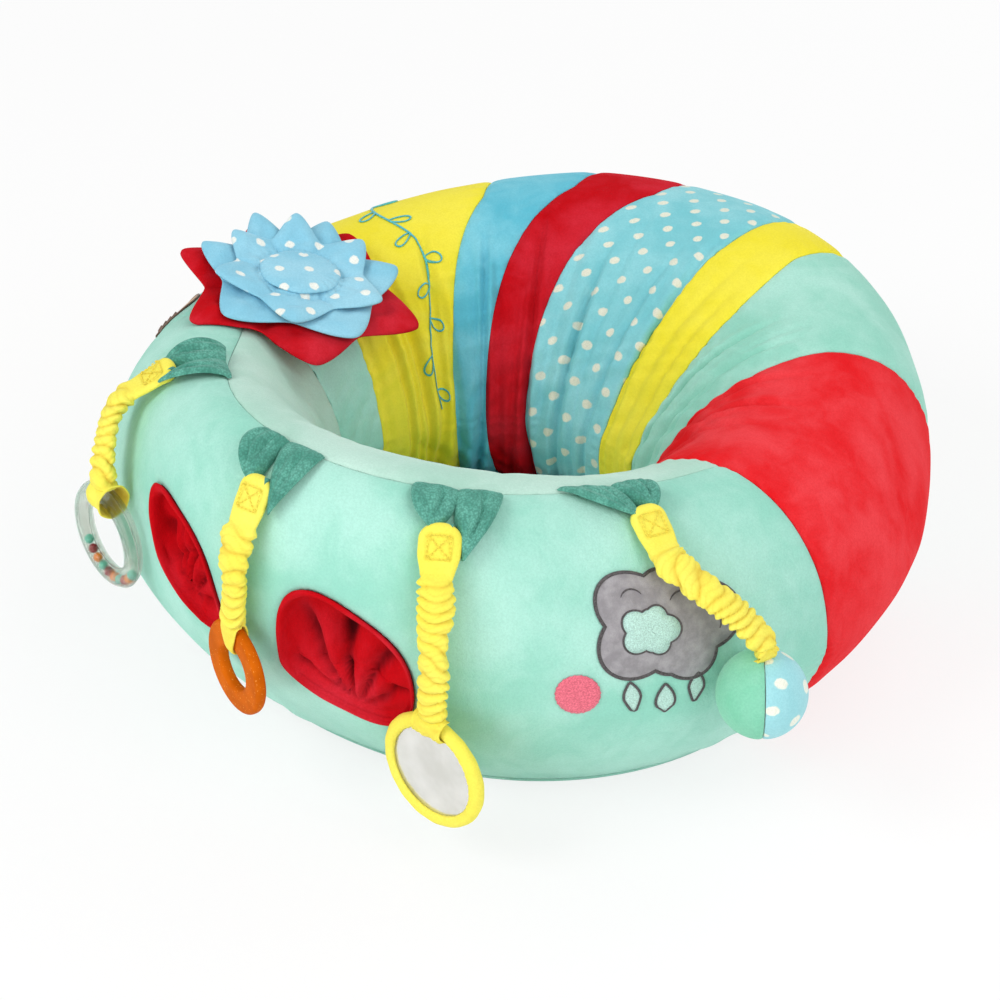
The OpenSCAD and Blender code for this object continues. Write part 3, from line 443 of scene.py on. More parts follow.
def fan(ring, flip=False):
    """Triangles that close a ring of indices, all from its first point."""
    a, b = ring[1:-1], ring[2:]
    first = np.full(len(a), ring[0])
    return np.stack([first, b, a] if flip else [first, a, b], -1)


def mesh_object(name, points, faces, uv=None, values=None):
    """Mesh in metres from points in mm and a list of face arrays, with a map and values."""
    mesh = bpy.data.meshes.new(name)
    sizes = np.concatenate([np.full(len(f), f.shape[1]) for f in faces])
    corners = np.concatenate([f.ravel() for f in faces]).astype(np.int32)
    mesh.vertices.add(len(points))
    mesh.vertices.foreach_set("co", (np.asarray(points, float) / 1000).astype(np.float32).ravel())
    mesh.loops.add(len(corners))
    mesh.loops.foreach_set("vertex_index", corners)
    mesh.polygons.add(len(sizes))
    mesh.polygons.foreach_set("loop_start", (np.cumsum(sizes) - sizes).astype(np.int32))
    mesh.polygons.foreach_set("use_smooth", np.full(len(sizes), True))
    if uv is not None:
        layer = mesh.uv_layers.new(name="cloth")
        layer.data.foreach_set("uv", np.asarray(uv, float)[corners].astype(np.float32).ravel())
    for key, value in (values or {}).items():
        value = np.asarray(value, float)
        if value.ndim == 2:
            layer = mesh.attributes.new(key, "FLOAT_COLOR", "POINT")
            value = np.concatenate([value, np.ones((len(value), 1))], 1)
            layer.data.foreach_set("color", value.astype(np.float32).ravel())
        else:
            layer = mesh.attributes.new(key, "FLOAT", "POINT")
            layer.data.foreach_set("value", value.astype(np.float32))
    mesh.update(calc_edges=True)
    mesh.validate()
    ob = bpy.data.objects.new(name, mesh)
    bpy.context.scene.collection.objects.link(ob)
    return ob


def shell(top, under):
    """Points and faces of the closed solid between two n by m grids, top facing out."""
    n, m = top.shape[:2]
    k = n * m
    f = quads(n, m)
    edge = np.concatenate([np.arange(m), np.arange(1, n) * m + m - 1,
                           (n - 1) * m + np.arange(m - 2, -1, -1), np.arange(n - 2, 0, -1) * m])
    after = np.roll(edge, -1)
    rim = np.stack([edge, after, after + k, edge + k], -1)[:, ::-1]
    return np.concatenate([top.reshape(-1, 3), under.reshape(-1, 3)]), [f, f[:, ::-1] + k, rim]


def tube(rings):
    """Points and faces of a closed tube of rings, its two ends closed. Rings that run from a
    small one out and back again make a closed disc in the same way."""
    rings = np.asarray(rings)
    n, m = rings.shape[:2]
    ring = np.arange(m)
    return rings.reshape(-1, 3), [quads(n, m, wrap_m=True), fan(ring),
                                  fan(ring + (n - 1) * m, True)]


def endless(rings):
    """Points and faces of a tube of rings that comes back to its first ring."""
    rings = np.asarray(rings)
    return rings.reshape(-1, 3), [quads(*rings.shape[:2], True, True)]


def outward_faces(ob):
    """Turns a closed mesh's faces outwards."""
    bm = bmesh.new()
    bm.from_mesh(ob.data)
    bmesh.ops.recalc_face_normals(bm, faces=bm.faces)
    bm.to_mesh(ob.data)
    bm.free()


def joined(parts):
    """One set of points and faces from several, each a (points, list of faces)."""
    points, faces, k = [], [], 0
    for p, f in parts:
        points.append(p.reshape(-1, 3))
        faces += [g + k for g in f]
        k += len(points[-1])
    return np.concatenate(points), faces


def finish_piece(ob, body, material, slot, *nodes):
    """Gives a piece its material and body, and hides the solids that it stands for. The slot is
    not used.
    """
    ob.data.materials.clear()
    ob.data.materials.append(material)
    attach(ob, body)
    if nodes:
        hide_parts(*nodes)
    return ob


def closed_piece(name, parts, body, material, slot, nodes, uv=None, values=None):
    """A piece of closed solids, faces turned outwards, with what it stands for."""
    points, faces = joined(parts)
    ob = mesh_object(name, points, faces, uv, values)
    outward_faces(ob)
    return finish_piece(ob, body, material, slot, *nodes)


def dress(node, material):
    """Gives a CAD node its material."""
    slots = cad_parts[node].data.materials
    slots.clear()
    slots.append(material)


# ------------------------------------------------------------------ materials

def linear(rgb):
    """Display colour to the linear one that shaders take."""
    c = np.asarray(rgb, float)
    return tuple(np.where(c <= 0.04045, c / 12.92, ((c + 0.055) / 1.055) ** 2.4))


class Value:
    """An output in a node tree, on which arithmetic adds Math nodes."""

    def __init__(self, nodes, socket):
        self.nodes, self.socket = nodes, socket

    def __add__(self, other):
        return self.nodes.math("ADD", self, other)

    def __radd__(self, other):
        return self.nodes.math("ADD", other, self)

    def __sub__(self, other):
        return self.nodes.math("SUBTRACT", self, other)

    def __rsub__(self, other):
        return self.nodes.math("SUBTRACT", other, self)

    def __mul__(self, other):
        return self.nodes.math("MULTIPLY", self, other)

    def __rmul__(self, other):
        return self.nodes.math("MULTIPLY", other, self)


class Nodes:
    """A node tree and the ways to add to it. Sockets go by name, with _ for a space."""

    def __init__(self, tree):
        self.tree = tree

    def node(self, kind, settings=None, **inputs):
        """Adds a node of a type, with its settings first and then its inputs."""
        n = self.tree.nodes.new(kind)
        for key, value in (settings or {}).items():
            setattr(n, key, value)
        for key, value in inputs.items():
            self.put(n.inputs[key.replace("_", " ")], value)
        return n

    def found(self, kind):
        """The tree's own node of a kind."""
        return next(n for n in self.tree.nodes if n.type == kind)

    def put(self, socket, value):
        """Links an output to a socket, or sets it to a constant."""
        value = value.socket if isinstance(value, Value) else value
        if isinstance(value, bpy.types.NodeSocket):
            self.tree.links.new(value, socket)
        elif np.size(value) == 3 and len(socket.default_value) == 4:
            socket.default_value = (*value, 1)
        else:
            socket.default_value = value

    def filled(self, n, values):
        """Fills a node's inputs in their order and gives its first output."""
        for socket, value in zip(n.inputs, values):
            self.put(socket, value)
        return n.outputs[0]

    def math(self, operation, *values):
        """Value from a Math node."""
        n = self.node("ShaderNodeMath", {"operation": operation})
        return Value(self, self.filled(n, values))

    def vector(self, operation, *values):
        """Vector from a Vector Math node."""
        return self.filled(self.node("ShaderNodeVectorMath", {"operation": operation}), values)

    def length(self, vector):
        """Value that is a vector's length."""
        n = self.node("ShaderNodeVectorMath", {"operation": "LENGTH"}, Vector=vector)
        return Value(self, n.outputs["Value"])

    def attribute(self, name, output="Fac"):
        """Value or colour that the mesh carries under a name."""
        return self.node("ShaderNodeAttribute", {"attribute_name": name}).outputs[output]

    def range(self, value, low, high, to_low=0.0, to_high=1.0):
        """Smooth step from one value to another as an input goes from low to high."""
        n = self.node("ShaderNodeMapRange", {"interpolation_type": "SMOOTHSTEP"}, Value=value,
                      From_Min=low, From_Max=high, To_Min=to_low, To_Max=to_high)
        return Value(self, n.outputs[0])

    def blend(self, factor, a, b):
        """Colour a where the factor is 0 and b where it is 1."""
        n = self.node("ShaderNodeMix", {"data_type": "RGBA"}, Factor=factor)
        self.put(n.inputs[6], a)
        self.put(n.inputs[7], b)
        return n.outputs[2]

    def mixed(self, factor, a, b):
        """Shader a where the factor is 0 and b where it is 1."""
        return self.filled(self.node("ShaderNodeMixShader"), (factor, a, b))

    def seen(self):
        """1 for rays that show the surroundings: from the camera, in a gloss or through a
        clear piece."""
        path = self.node("ShaderNodeLightPath").outputs
        gloss = self.math("MAXIMUM", path["Is Camera Ray"], path["Is Glossy Ray"])
        return self.math("MAXIMUM", gloss, path["Is Transmission Ray"])


class Finish(Nodes):
    """One procedural material: a Principled shader and the nodes that vary it."""

    def __init__(self, name, **constants):
        self.material = bpy.data.materials.new(name)
        self.material.use_nodes = True
        super().__init__(self.material.node_tree)
        self.shader = self.found("BSDF_PRINCIPLED")
        self.set(**constants)
        self.object_place = self.node("ShaderNodeTexCoord").outputs["Object"]

    def set(self, **inputs):
        """Links or sets the shader's inputs."""
        for key, value in inputs.items():
            self.put(self.shader.inputs[key.replace("_", " ")], value)

    def noise(self, size_mm, detail=2, rough=0.5, stretch=(1, 1, 1), twist=0):
        """Noise of features about size_mm across, from 0 to 1 about 0.5."""
        at = self.node("ShaderNodeMapping", None, Vector=self.object_place, Scale=stretch)
        n = self.node("ShaderNodeTexNoise", None, Vector=at.outputs[0], Scale=1000 / size_mm,
                      Detail=detail, Roughness=rough, Distortion=twist)
        return Value(self, n.outputs["Fac"])

    def patchy(self, value, low, high, dark, light):
        """Colour that goes from dark to light as a value goes from low to high."""
        return self.blend(self.range(value, low, high), dark, light)

    def surface(self, shader):
        """Puts a shader in place of the material's own."""
        self.put(self.found("OUTPUT_MATERIAL").inputs["Surface"], shader)

    def bump(self, height, distance_mm, strength=1.0):
        """Raises the surface by a height, whose step of 1 is distance_mm."""
        n = self.node("ShaderNodeBump", None, Height=height, Distance=distance_mm / 1000,
                      Strength=strength)
        self.set(Normal=n.outputs[0])


def shade(rgb, by):
    """A display colour made darker (by under 1) or lighter, in linear light."""
    return tuple(min(1, v) for v in np.array(linear(rgb)) * by)


def tint(rgb, towards, share):
    """A display colour moved towards another."""
    return tuple(mix(np.array(rgb), np.array(towards), share))


def paler(rgb, share):
    """A display colour moved towards white, in linear light."""
    return linear(tint(rgb, WHITE, share))


def pile(f, rgb, strength=1.0):
    """Colour and bump of brushed pile: paler and deeper patches, a fine fibre speckle."""
    base = np.array(linear(rgb))
    dark = tuple(base ** (1 + 0.26 * strength) * (1 - 0.07 * strength))
    streak_of = dict(stretch=(1, 1, 0.5), twist=1.0)
    broad, streak = f.noise(76, 3, 0.5, twist=0.6), f.noise(19, 3, 0.55, **streak_of)
    ground = f.patchy(broad * 0.76 + streak * 0.24, 0.36, 0.66, dark, paler(rgb, 0.19 * strength))
    ground = f.blend(0.25, ground, tuple(base))
    fibre = f.range(f.noise(1.5, 3, 0.75), 0.35, 0.65, 0.0, 0.24)
    ground = f.blend(fibre, ground, tuple(base ** 1.25 * 0.74))
    f.bump(f.noise(0.9, 2, 0.8) * 0.7 + f.noise(3.6, 2, 0.6) * 1.0 + streak * 1.6, 0.5, 0.7)
    return ground


def brushed(name, rgb, sheen):
    """Material of a pile cloth. Its sheen is whiter on a pale cloth than on a deep one."""
    return Finish(name, Roughness=0.92, Sheen_Weight=sheen, Sheen_Roughness=0.4,
                  Specular_IOR_Level=0.1, Sheen_Tint=paler(rgb, 0.62 * np.mean(rgb) ** 1.6))


def velour(name, rgb, strength=1.0, sheen=0.6, fold=None):
    """Brushed velour. Its last argument is a darker colour painted into folds as shade, in full
    where the piece's fold shade value is 1.
    """
    f = brushed(name, rgb, sheen)
    ground = pile(f, rgb, strength)
    # Painted shade: the darker colour blended in by the mesh's fold shade value
    if fold is not None:
        ground = f.blend(f.attribute("fold"), ground, linear(fold))
    f.set(Base_Color=ground)


def dots(f, pitch_mm, dot_mm):
    """1 inside the dots of a staggered lattice on the piece's cloth map, which is in mm."""
    at = f.node("ShaderNodeUVMap", {"uv_map": "cloth"}).outputs[0]
    wobble = f.noise(2.2, 1)
    nearest = []
    for shift in (0.0, 0.5):
        cells = f.node("ShaderNodeVectorMath", {"operation": "SCALE"}, Vector=at,
                       Scale=1 / pitch_mm).outputs[0]
        cell = f.vector("FRACTION", f.vector("ADD", cells, (shift, shift, 0)))
        nearest.append(f.length(f.vector("SUBTRACT", cell, (0.5, 0.5, 0))))
    r, soft = dot_mm / 2 / pitch_mm, 0.02
    return f.range(f.math("MINIMUM", *nearest) + (wobble - 0.5) * 0.04, r + soft, r - soft)


def dotted_velour(name, rgb, dot_rgb, pitch_mm, dot_mm, strength=1.0):
    """Velour printed with cream dots."""
    f = brushed(name, rgb, 0.5)
    ground = pile(f, rgb, strength)
    cream = f.patchy(f.noise(1.0, 2, 0.8), 0.35, 0.65, linear(dot_rgb), shade(dot_rgb, 0.86))
    f.set(Base_Color=f.blend(dots(f, pitch_mm, dot_mm), ground, cream))


def terry(name, rgb):
    """Looped terry: pale loops, with painted shade in the small gaps between them."""
    f = Finish(name, Roughness=0.95, Sheen_Weight=0.4, Sheen_Roughness=0.5,
               Specular_IOR_Level=0.1, Sheen_Tint=paler(rgb, 0.5))
    loops = f.node("ShaderNodeTexVoronoi", {"feature": "F1"}, Vector=f.object_place,
                   Scale=1000 / 1.5)
    loop = Value(f, loops.outputs["Distance"])
    ground = f.patchy(f.noise(14, 3, 0.6), 0.35, 0.65, shade(rgb, 0.74), paler(rgb, 0.1))
    # Painted shade: darker in the gaps between the loops
    ground = f.blend(f.range(loop, 0.15, 0.8, 0, 0.62), ground, shade(rgb, 0.42))
    f.bump(1.0 - loop + f.noise(2.4, 2) * 0.8, 0.4, 0.75)
    f.set(Base_Color=ground)


def felt(name, rgb):
    """Short matted fibres over a soft patchy ground."""
    f = Finish(name, Roughness=0.9, Sheen_Weight=0.25, Sheen_Roughness=0.5,
               Specular_IOR_Level=0.15)
    ground = f.patchy(f.noise(9, 3, 0.6), 0.3, 0.7, shade(rgb, 0.8), paler(rgb, 0.12))
    fibre = f.range(f.noise(0.7, 2, 0.8), 0.3, 0.7, 0, 0.3)
    f.set(Base_Color=f.blend(fibre, ground, shade(rgb, 0.6)))
    f.bump(f.noise(0.8, 2, 0.8), 0.2, 0.6)


def thread(name, rgb, along=(1, 0.25, 1)):
    """Satin stitches: fine bright lines side by side."""
    f = Finish(name, Roughness=0.5, Sheen_Weight=0.2, Specular_IOR_Level=0.35)
    lines = f.noise(0.8, 2, 0.7, stretch=along)
    f.set(Base_Color=f.patchy(lines, 0.3, 0.7, shade(rgb, 0.66), paler(rgb, 0.14)))
    f.bump(lines, 0.25, 0.8)


def woven(name, rib_mm, low, high, dark, light, *ribs, **constants):
    """Woven band: noise drawn out along each direction of its ribs, added up."""
    f = Finish(name, **constants)
    weave = None
    for rib in ribs:
        line = f.noise(rib_mm, 1, 0.4, stretch=rib)
        weave = line if weave is None else weave + line
    f.set(Base_Color=f.patchy(weave, low, high, dark, light))
    f.bump(weave, 0.2, 0.7)
    return f.material


def vinyl(name):
    """Clear soft vinyl with a faint milky blue and a slightly uneven face."""
    f = Finish(name, Roughness=0.22, Transmission_Weight=0.6, IOR=1.4, Alpha=1.0)
    f.set(Base_Color=f.patchy(f.noise(30, 2), 0.3, 0.7, (0.76, 0.84, 0.88), (0.88, 0.93, 0.95)))
    f.bump(f.noise(12, 2), 0.4, 0.4)
    return f.material


def plastic(name, rgb, roughness=0.35, grain_mm=0.6, metal=0.0):
    """Moulded plastic or coated metal: even colour, fine grain and a few soft scuffs."""
    f = Finish(name, Metallic=metal, Specular_IOR_Level=0.5)
    scuff = f.range(f.noise(5, 4, 0.7), 0.45, 0.75)
    f.set(Base_Color=f.blend(scuff, linear(rgb), shade(rgb, 0.86)),
          Roughness=scuff * 0.15 + roughness)
    f.bump(f.noise(grain_mm, 2), 0.05, 0.5)
    return f.material


def clear_ring():
    """Clear in the middle of the band, with painted shade along its edges, where the wall is seen
    through its length.
    """
    f = Finish("smoky_clear", Roughness=0.05, Transmission_Weight=1.0, IOR=1.27)
    f.set(Base_Color=f.patchy(f.noise(25, 2), 0.3, 0.7, (0.55, 0.58, 0.52), (0.70, 0.74, 0.68)))
    f.bump(f.noise(8, 2), 0.1, 0.3)
    through = f.node("ShaderNodeBsdfTransparent", None, Color=(0.95, 0.97, 0.95))
    # Painted shade: less see-through, more of the grey shader, along the ring's edges
    share = Value(f, f.attribute("rim")) * 0.4 + 0.25
    f.surface(f.mixed(share, through.outputs[0], f.shader.outputs[0]))
    return f.material


def bead_plastic():
    """Glossy beads, each of its own tone."""
    f = Finish("bead_plastic", Roughness=0.25, Specular_IOR_Level=0.5)
    fleck = f.range(f.noise(2.5, 2), 0.35, 0.7, 0, 0.1)
    f.set(Base_Color=f.blend(fleck, f.attribute("tone", "Color"), (0.9, 0.9, 0.85)))
    f.bump(f.noise(1.5, 2), 0.05, 0.4)
    return f.material


def rubber(name, rgb):
    """Matt moulded rubber with paler specks."""
    f = Finish(name, Roughness=0.62, Specular_IOR_Level=0.06)
    speck = f.range(f.noise(1.3, 1, 0.3), 0.68, 0.74) * 0.4
    ground = f.patchy(f.noise(14, 3), 0.3, 0.7, shade(rgb, 0.86),
                      linear(tint(rgb, (1, 0.6, 0.1), 0.10)))
    f.set(Base_Color=f.blend(speck, ground, (0.95, 0.50, 0.10)))
    f.bump(f.noise(3, 3) + speck, 0.12, 0.5)
    return f.material


def mirror_film():
    """Soft mirror film, a little hazy and wavy."""
    f = Finish("mirror_film", Metallic=0.72, Specular_IOR_Level=0.5)
    haze = f.noise(30, 3, 0.6)
    f.set(Base_Color=f.patchy(haze, 0.3, 0.7, (0.66, 0.66, 0.62), (0.80, 0.80, 0.77)),
          Roughness=haze * 0.12 + 0.12)
    f.bump(f.noise(26, 2), 0.5, 0.25)
    return f.material


def wadding():
    """Loose white stuffing."""
    f = Finish("wadding", Roughness=1.0, Sheen_Weight=0.3)
    f.set(Base_Color=f.patchy(f.noise(3, 4, 0.7), 0.3, 0.7, (0.78, 0.78, 0.76),
                              (0.95, 0.95, 0.93)))
    f.bump(f.noise(2, 4, 0.8), 0.8, 0.8)
    return f.material


def finishes(seat):
    """The cloths, felts and threads by name, made once."""
    c, made = seat.paint, bpy.data.materials
    if "velour_mint" in made:
        return made
    rgb = {key: tuple(getattr(c, key)) for key in FloorSeatColours.__annotations__}
    for key, strength, sheen in (("mint", 1.0, 0.6), ("red", 1.0, 0.6), ("deep_red", 0.9, 0.3),
                                 ("yellow", 0.55, 0.6), ("blue", 1.0, 0.6), ("pale", 0.8, 0.6)):
        velour("velour_" + key, rgb[key], strength, sheen)
    dotted_velour("velour_dotted", rgb["aqua"], rgb["dots"], 28.0, seat.mm["band_dot"], 0.9)
    for key in ("grey", "tan", "brown"):
        felt("felt_" + key, rgb[key])
    for key, shown, *along in (
            ("pink", rgb["pink"]), ("charcoal", rgb["charcoal"]),
            ("mint", tint(rgb["mint"], WHITE, 0.25), (0.25, 1, 1)),
            ("turquoise", (0.24, 0.74, 0.78)), ("brown", tint(rgb["brown"], BLACK, 0.25))):
        thread("thread_" + key, shown, *along)
    terry("terry_leaf", rgb["leaf"])
    # The last colours of the sleeve and the pocket are painted shade for their folds
    velour("velour_sleeve", tint(rgb["yellow"], WHITE, 0.17), 0.35, 0.4, (0.86, 0.70, 0.22))
    velour("velour_pocket", rgb["deep_red"], 0.9, 0.25, (0.27, 0.0, 0.02))
    velour("velour_petal_red", rgb["deep_red"], 0.9, 0.4)
    velour("velour_petal_blue", rgb["petal"], 0.7)
    dotted_velour("velour_petal_dots", tint(rgb["petal"], WHITE, 0.05), (0.96, 0.97, 0.94),
                  31.0, seat.mm["flower_dot"], 0.7)
    dotted_velour("velour_ball_dots", tint(rgb["aqua"], WHITE, 0.2), (0.95, 0.96, 0.90),
                  35.0, seat.mm["ball_dot"], 0.6)
    velour("velour_ball_green", (0.53, 0.82, 0.70), 0.7)
    return made


# ------------------------------------------------------------------ the cover

def panel_grid(seat, s0, s1, lo, hi, step_a, step_psi):
    """Angles of a panel from seam s0 to seam s1 and from lo(a) to hi(a), on a grid.

    The flat angle runs between the seams' own angles, the real one between their places.
    """
    per_a, per_psi, gap = 4.9, 2.15, 0.05       # mm a degree, and the gap at a seam
    t = stops((s1[0] - s0[0]) * per_a, step_a)[:, None]
    flat = mix(s0[0], s1[0], t)
    span = float(np.mean(hi(flat) - lo(flat))) * per_psi
    psi = mix(lo(flat), hi(flat), stops(span, step_psi)[None, :])
    trim = gap / seat.from_hollow(seat.skin(seam_a(s0, psi), psi)) * R2D
    return mix(seam_a(s0, psi) + trim, seam_a(s1, psi) - trim, t), psi


def cloth_map(seat, a, psi):
    """Place on the flat cloth, in mm: round the ring from the panel's middle, and up it."""
    p = seat.skin(a, psi)
    middle = a.shape[0] // 2
    u = (a - a[middle]) / R2D * seat.from_hollow(p)
    v = np.concatenate([[0], np.cumsum(np.linalg.norm(np.diff(p[middle], axis=0), axis=-1))])
    return np.stack([u, np.broadcast_to(v, u.shape)], -1).reshape(-1, 2)


def make_panel(seat, node, a, psi, material, slot, holes=()):
    """Cloth sheet over the grid of angles, with pocket holes cut in it, then thickened."""
    faces = quads(*a.shape)
    uv = cloth_map(seat, a, psi)
    a, psi = a.ravel().copy(), psi.ravel().copy()
    for pocket in holes:
        share, turn = seat.pocket_share(pocket, a, psi)
        inside = share < 1
        faces = faces[~inside[faces].all(1)]
        edge = np.unique(faces[inside[faces]])
        a[edge], psi[edge] = seat.pocket_at(pocket, 1.0, turn[edge])
    used, corners = np.unique(faces, return_inverse=True)
    ob = mesh_object("cover_" + node, seat.cover(a, psi)[used],
                     [corners.reshape(faces.shape)], uv[used])
    m = ob.modifiers.new("Thickness", "SOLIDIFY")
    m.thickness, m.offset, m.use_rim = seat.mm["cloth_t"] / 1000, -1, True
    finish_piece(ob, "seat", material, slot, node)


def make_front(seat):
    """Front panel with its pocket holes, and the paler lip inside it."""
    cloth, half_gap = finishes(seat), 0.08
    lower = panel_grid(seat, *SEAMS[:2], lambda a: -seat.edge_psi(a),
                       lambda a: top_seam(a) - half_gap, 3.0, 2.9)
    make_panel(seat, "front_panel", *lower, cloth["velour_mint"], SLOT_OF["mint"],
               (POCKET_LEFT, POCKET_RIGHT))
    upper = panel_grid(seat, *SEAMS[:2], lambda a: top_seam(a) + half_gap,
                       lambda a: 180 + seat.edge_psi(a), 4.2, 3.2)
    make_panel(seat, "seat_lip_panel", *upper, cloth["velour_pale"], SLOT_OF["pale"])


def make_bands(seat):
    """The eight bands round the sides and back."""
    cloth = finishes(seat)
    for (name, start, key), end in zip(BANDS, SEAMS[2:]):
        grid = panel_grid(seat, start, end, lambda a: -seat.edge_psi(a),
                          lambda a: 180 + seat.edge_psi(a), 2.3, 3.4)
        make_panel(seat, name, *grid, cloth["velour_" + key], SLOT_OF[key])


# ------------------------------------------------------------------ base, floor pad, pockets

def make_base(seat):
    """Round underside: the outline of the cover's lower edge, sewn in with a rolled edge."""
    a = turns(2.5)
    edge = seat.skin(a, -seat.edge_psi(a))
    t = seat.base_t
    profile = ((0.01, 0), (0.3, 0), (0.6, 0), (0.9, 0), (0.994, 0), (1, 0.5), (1.001, 1.4),
               (0.999, 2.1), (0.99, t), (0.9, t), (0.6, t), (0.3, t), (0.01, t))
    rings = [stack(edge[:, 0] * share, edge[:, 1] * share, z) for share, z in profile]
    closed_piece("cover_base_panel", [tube(rings)], "seat", finishes(seat)["velour_mint"],
                 SLOT_OF["mint"], ["base_panel"])


def make_floor_pad(seat):
    """Crowned round cushion: a squashed circle for its side, a low dome on top, a seam round
    its middle height, and soft wrinkles that run in from the seam."""
    h = seat.mm["floor_pad_h"]
    psi, a = np.arange(180, 241, 2.0)[None, :], np.array([0, 90, 180.0])[:, None]
    wall = seat.skin(a, psi)
    # It fits inside the narrowest place of the hollow's wall up to its own shoulder
    r = seat.from_hollow(wall)[wall[..., 2] < h * 0.75 + 12].min() - 2.6
    side, crown = h * 0.4, h * 0.16
    flat = r - side * 0.5
    profile = [(flat * x, 0.0) for x in (0.01, 0.4, 0.8, 1)]
    profile += [(flat + side * 0.5 * cos(t), side + side * sin(t))
                for t in np.arange(-75, 90, 7.5)]
    profile += [(flat * x, side * 2 + crown * (1 - x * x)) for x in np.linspace(1, 0.01, 26)]
    turn = turns(2.0)
    rings = []
    for out, z in profile:
        if out > r * 0.8:
            d = abs(z - side)
            out = out - 2.2 * np.exp(-d / 2.2) + 0.5 * np.exp(-d / 12) * sin(
                turn * 31 + 40 * sin(turn * 3))
        p = stack(out * sin(turn), -seat.shift - out * cos(turn), seat.base_t + seat.gap + z)
        if z > side:
            p[:, 2] += ripple(p, 55, 31) * 1.2 * min(1, (z - side) / 15)
        rings.append(p)
    ob = closed_piece("floor_cushion", [tube(rings)], "seat", finishes(seat)["velour_mint"],
                      SLOT_OF["mint"], ["seat_floor_pad"])


def make_pocket(seat, pocket, side, focus, shallow, bars):
    """Red lining bag: a rolled hem over the edge of the mouth, then a bag that is shallow
    towards the "shallow" direction, with folds that fan out from the "focus" direction and
    creases "bars" mm deep across it."""
    turn = turns(2.5)
    half_l, half_w = pocket[2:4]
    depth, cloth_t = seat.mm["pocket_depth"], 1.6

    def ring(share, lift):
        """Points at a share of the mouth, lift mm off the plain ring."""
        a, psi = seat.pocket_at(pocket, share, turn)
        return seat.skin(a, psi) + seat.normal(a, psi) * (lift + 0 * turn)[:, None]

    def bag(share, down, sag):
        """Lift of the bag's cloth, and the painted shade in its folds, from 0 to 1, which grows
        with how deep they are there.
        """
        x, y = share * cos(turn), share * sin(turn)
        low = 0.5 + 0.5 * (x * cos(shallow) + y * sin(shallow))
        plain = lift = -depth * down * (1 - 0.50 * ease(low * 1.25 - 0.1))
        fx, fy = x - 0.92 * cos(focus), y - 0.92 * sin(focus)
        way = (np.degrees(np.arctan2(fy, fx)) - focus) % 360 - 180
        far = np.hypot(fx, fy)
        for at, deep, wide in BAG_FOLDS:
            w = (way - at - 4 * sin(far * 140)) / wide
            lift = lift - sag * deep * ease(far * 2.4) * ease((1.9 - far) * 2) * (
                bell(w) - 0.5 * bell(w / 2.4))
        lift = lift + sag * 1.4 * ripple(stack(x * 50, y * 50, 0 * x), 26, 8)
        bar = y * half_l / 9.5 + 0.6 * sin(x * 110) + 0.5 * sin(y * 200)
        lift = lift + sag * bars * (np.abs(np.sin(bar)) ** 0.7 - 0.7)
        return lift, np.clip((plain - lift) / 5.5 - 0.1, 0, 1)

    hem = 0.55 + 0.35 * (1 + sin(turn + 20)) + 0.15 * sin(turn * 9)    # fuller on the upper lip
    wide = hem / half_w
    outer = [ring(1 + out * wide, lift) for out, lift in (
        (-0.5, -3.0), (0.4, -1.4), (0.8, 0.2 * hem), (0.35, 0.9 * hem), (-0.7, 1.05 * hem),
        (-1.8, 0.35 * hem), (-2.3, -1.6), (-2.5, -5))]
    # The bag: share of the mouth, share of the depth, and how far the folds have grown
    bags = [(share, *bag(share, down, sag)) for share, down, sag in (
        (0.925, 0.36, 0.25), (0.90, 0.50, 0.5), (0.86, 0.62, 0.8), (0.81, 0.71, 1),
        (0.75, 0.79, 1), (0.68, 0.86, 1), (0.6, 0.91, 1), (0.52, 0.94, 1), (0.44, 0.96, 1),
        (0.36, 0.98, 1), (0.28, 0.99, 1), (0.2, 1, 1), (0.12, 1, 0.8), (0.06, 1, 0.6),
        (0.01, 1, 0.5))]
    face = np.array(outer + [ring(share, lift) for share, lift, _ in bags])
    # Painted shade in the folds: none on the hem, more where the bag sinks below its plain depth
    folds = np.array([0 * turn] * len(outer) + [fold for _, _, fold in bags])
    n = unit(np.cross(np.gradient(face, axis=0), np.roll(face, -1, 1) - np.roll(face, 1, 1)))
    # The cloth's other side lies away from where the bag is looked into
    flip = np.sign((n[12] * seat.normal(pocket[0], pocket[1])).sum(-1).mean())
    back = slice(None, -len(bags) - 4, -1)
    rings = np.concatenate([face, (face - n * flip * cloth_t)[back]])
    closed_piece("bag_" + side, [endless(rings)], "seat", finishes(seat)["velour_pocket"],
                 SLOT_OF["red"], ["pocket_lining_" + side],
                 values={"fold": np.concatenate([folds, folds[back]]).ravel()})


def make_pockets(seat):
    """The two lining bags."""
    make_pocket(seat, POCKET_LEFT, "left", 215, 250, 4.5)
    make_pocket(seat, POCKET_RIGHT, "right", 238, 250, 1.2)


# ------------------------------------------------------------------ sewn-on patches

def puffed(seat, where, x, y, middle, profile):
    """Closed patch on the cloth inside the flat outline (x, y): it is drawn towards its
    middle, share by share, at heights off the cloth."""
    x0, y0 = middle
    return tube([seat.beside(*where, x0 + (x - x0) * share, y0 + (y - y0) * share, off)
                 for share, off in profile])


def patch(seat, where, edge, thick, steps):
    """Thin patch of cloth: edge(t) is its radius in direction t."""
    t, under, top = turns(360 / steps), 0.3, 0.3 + thick
    return puffed(seat, where, edge(t) * cos(t), edge(t) * sin(t), (0, 0), (
        (0.02, under), (0.5, under), (0.97, under), (1, under + 0.3), (0.985, top), (0.8, top),
        (0.6, top), (0.4, top), (0.2, top), (0.02, top)))


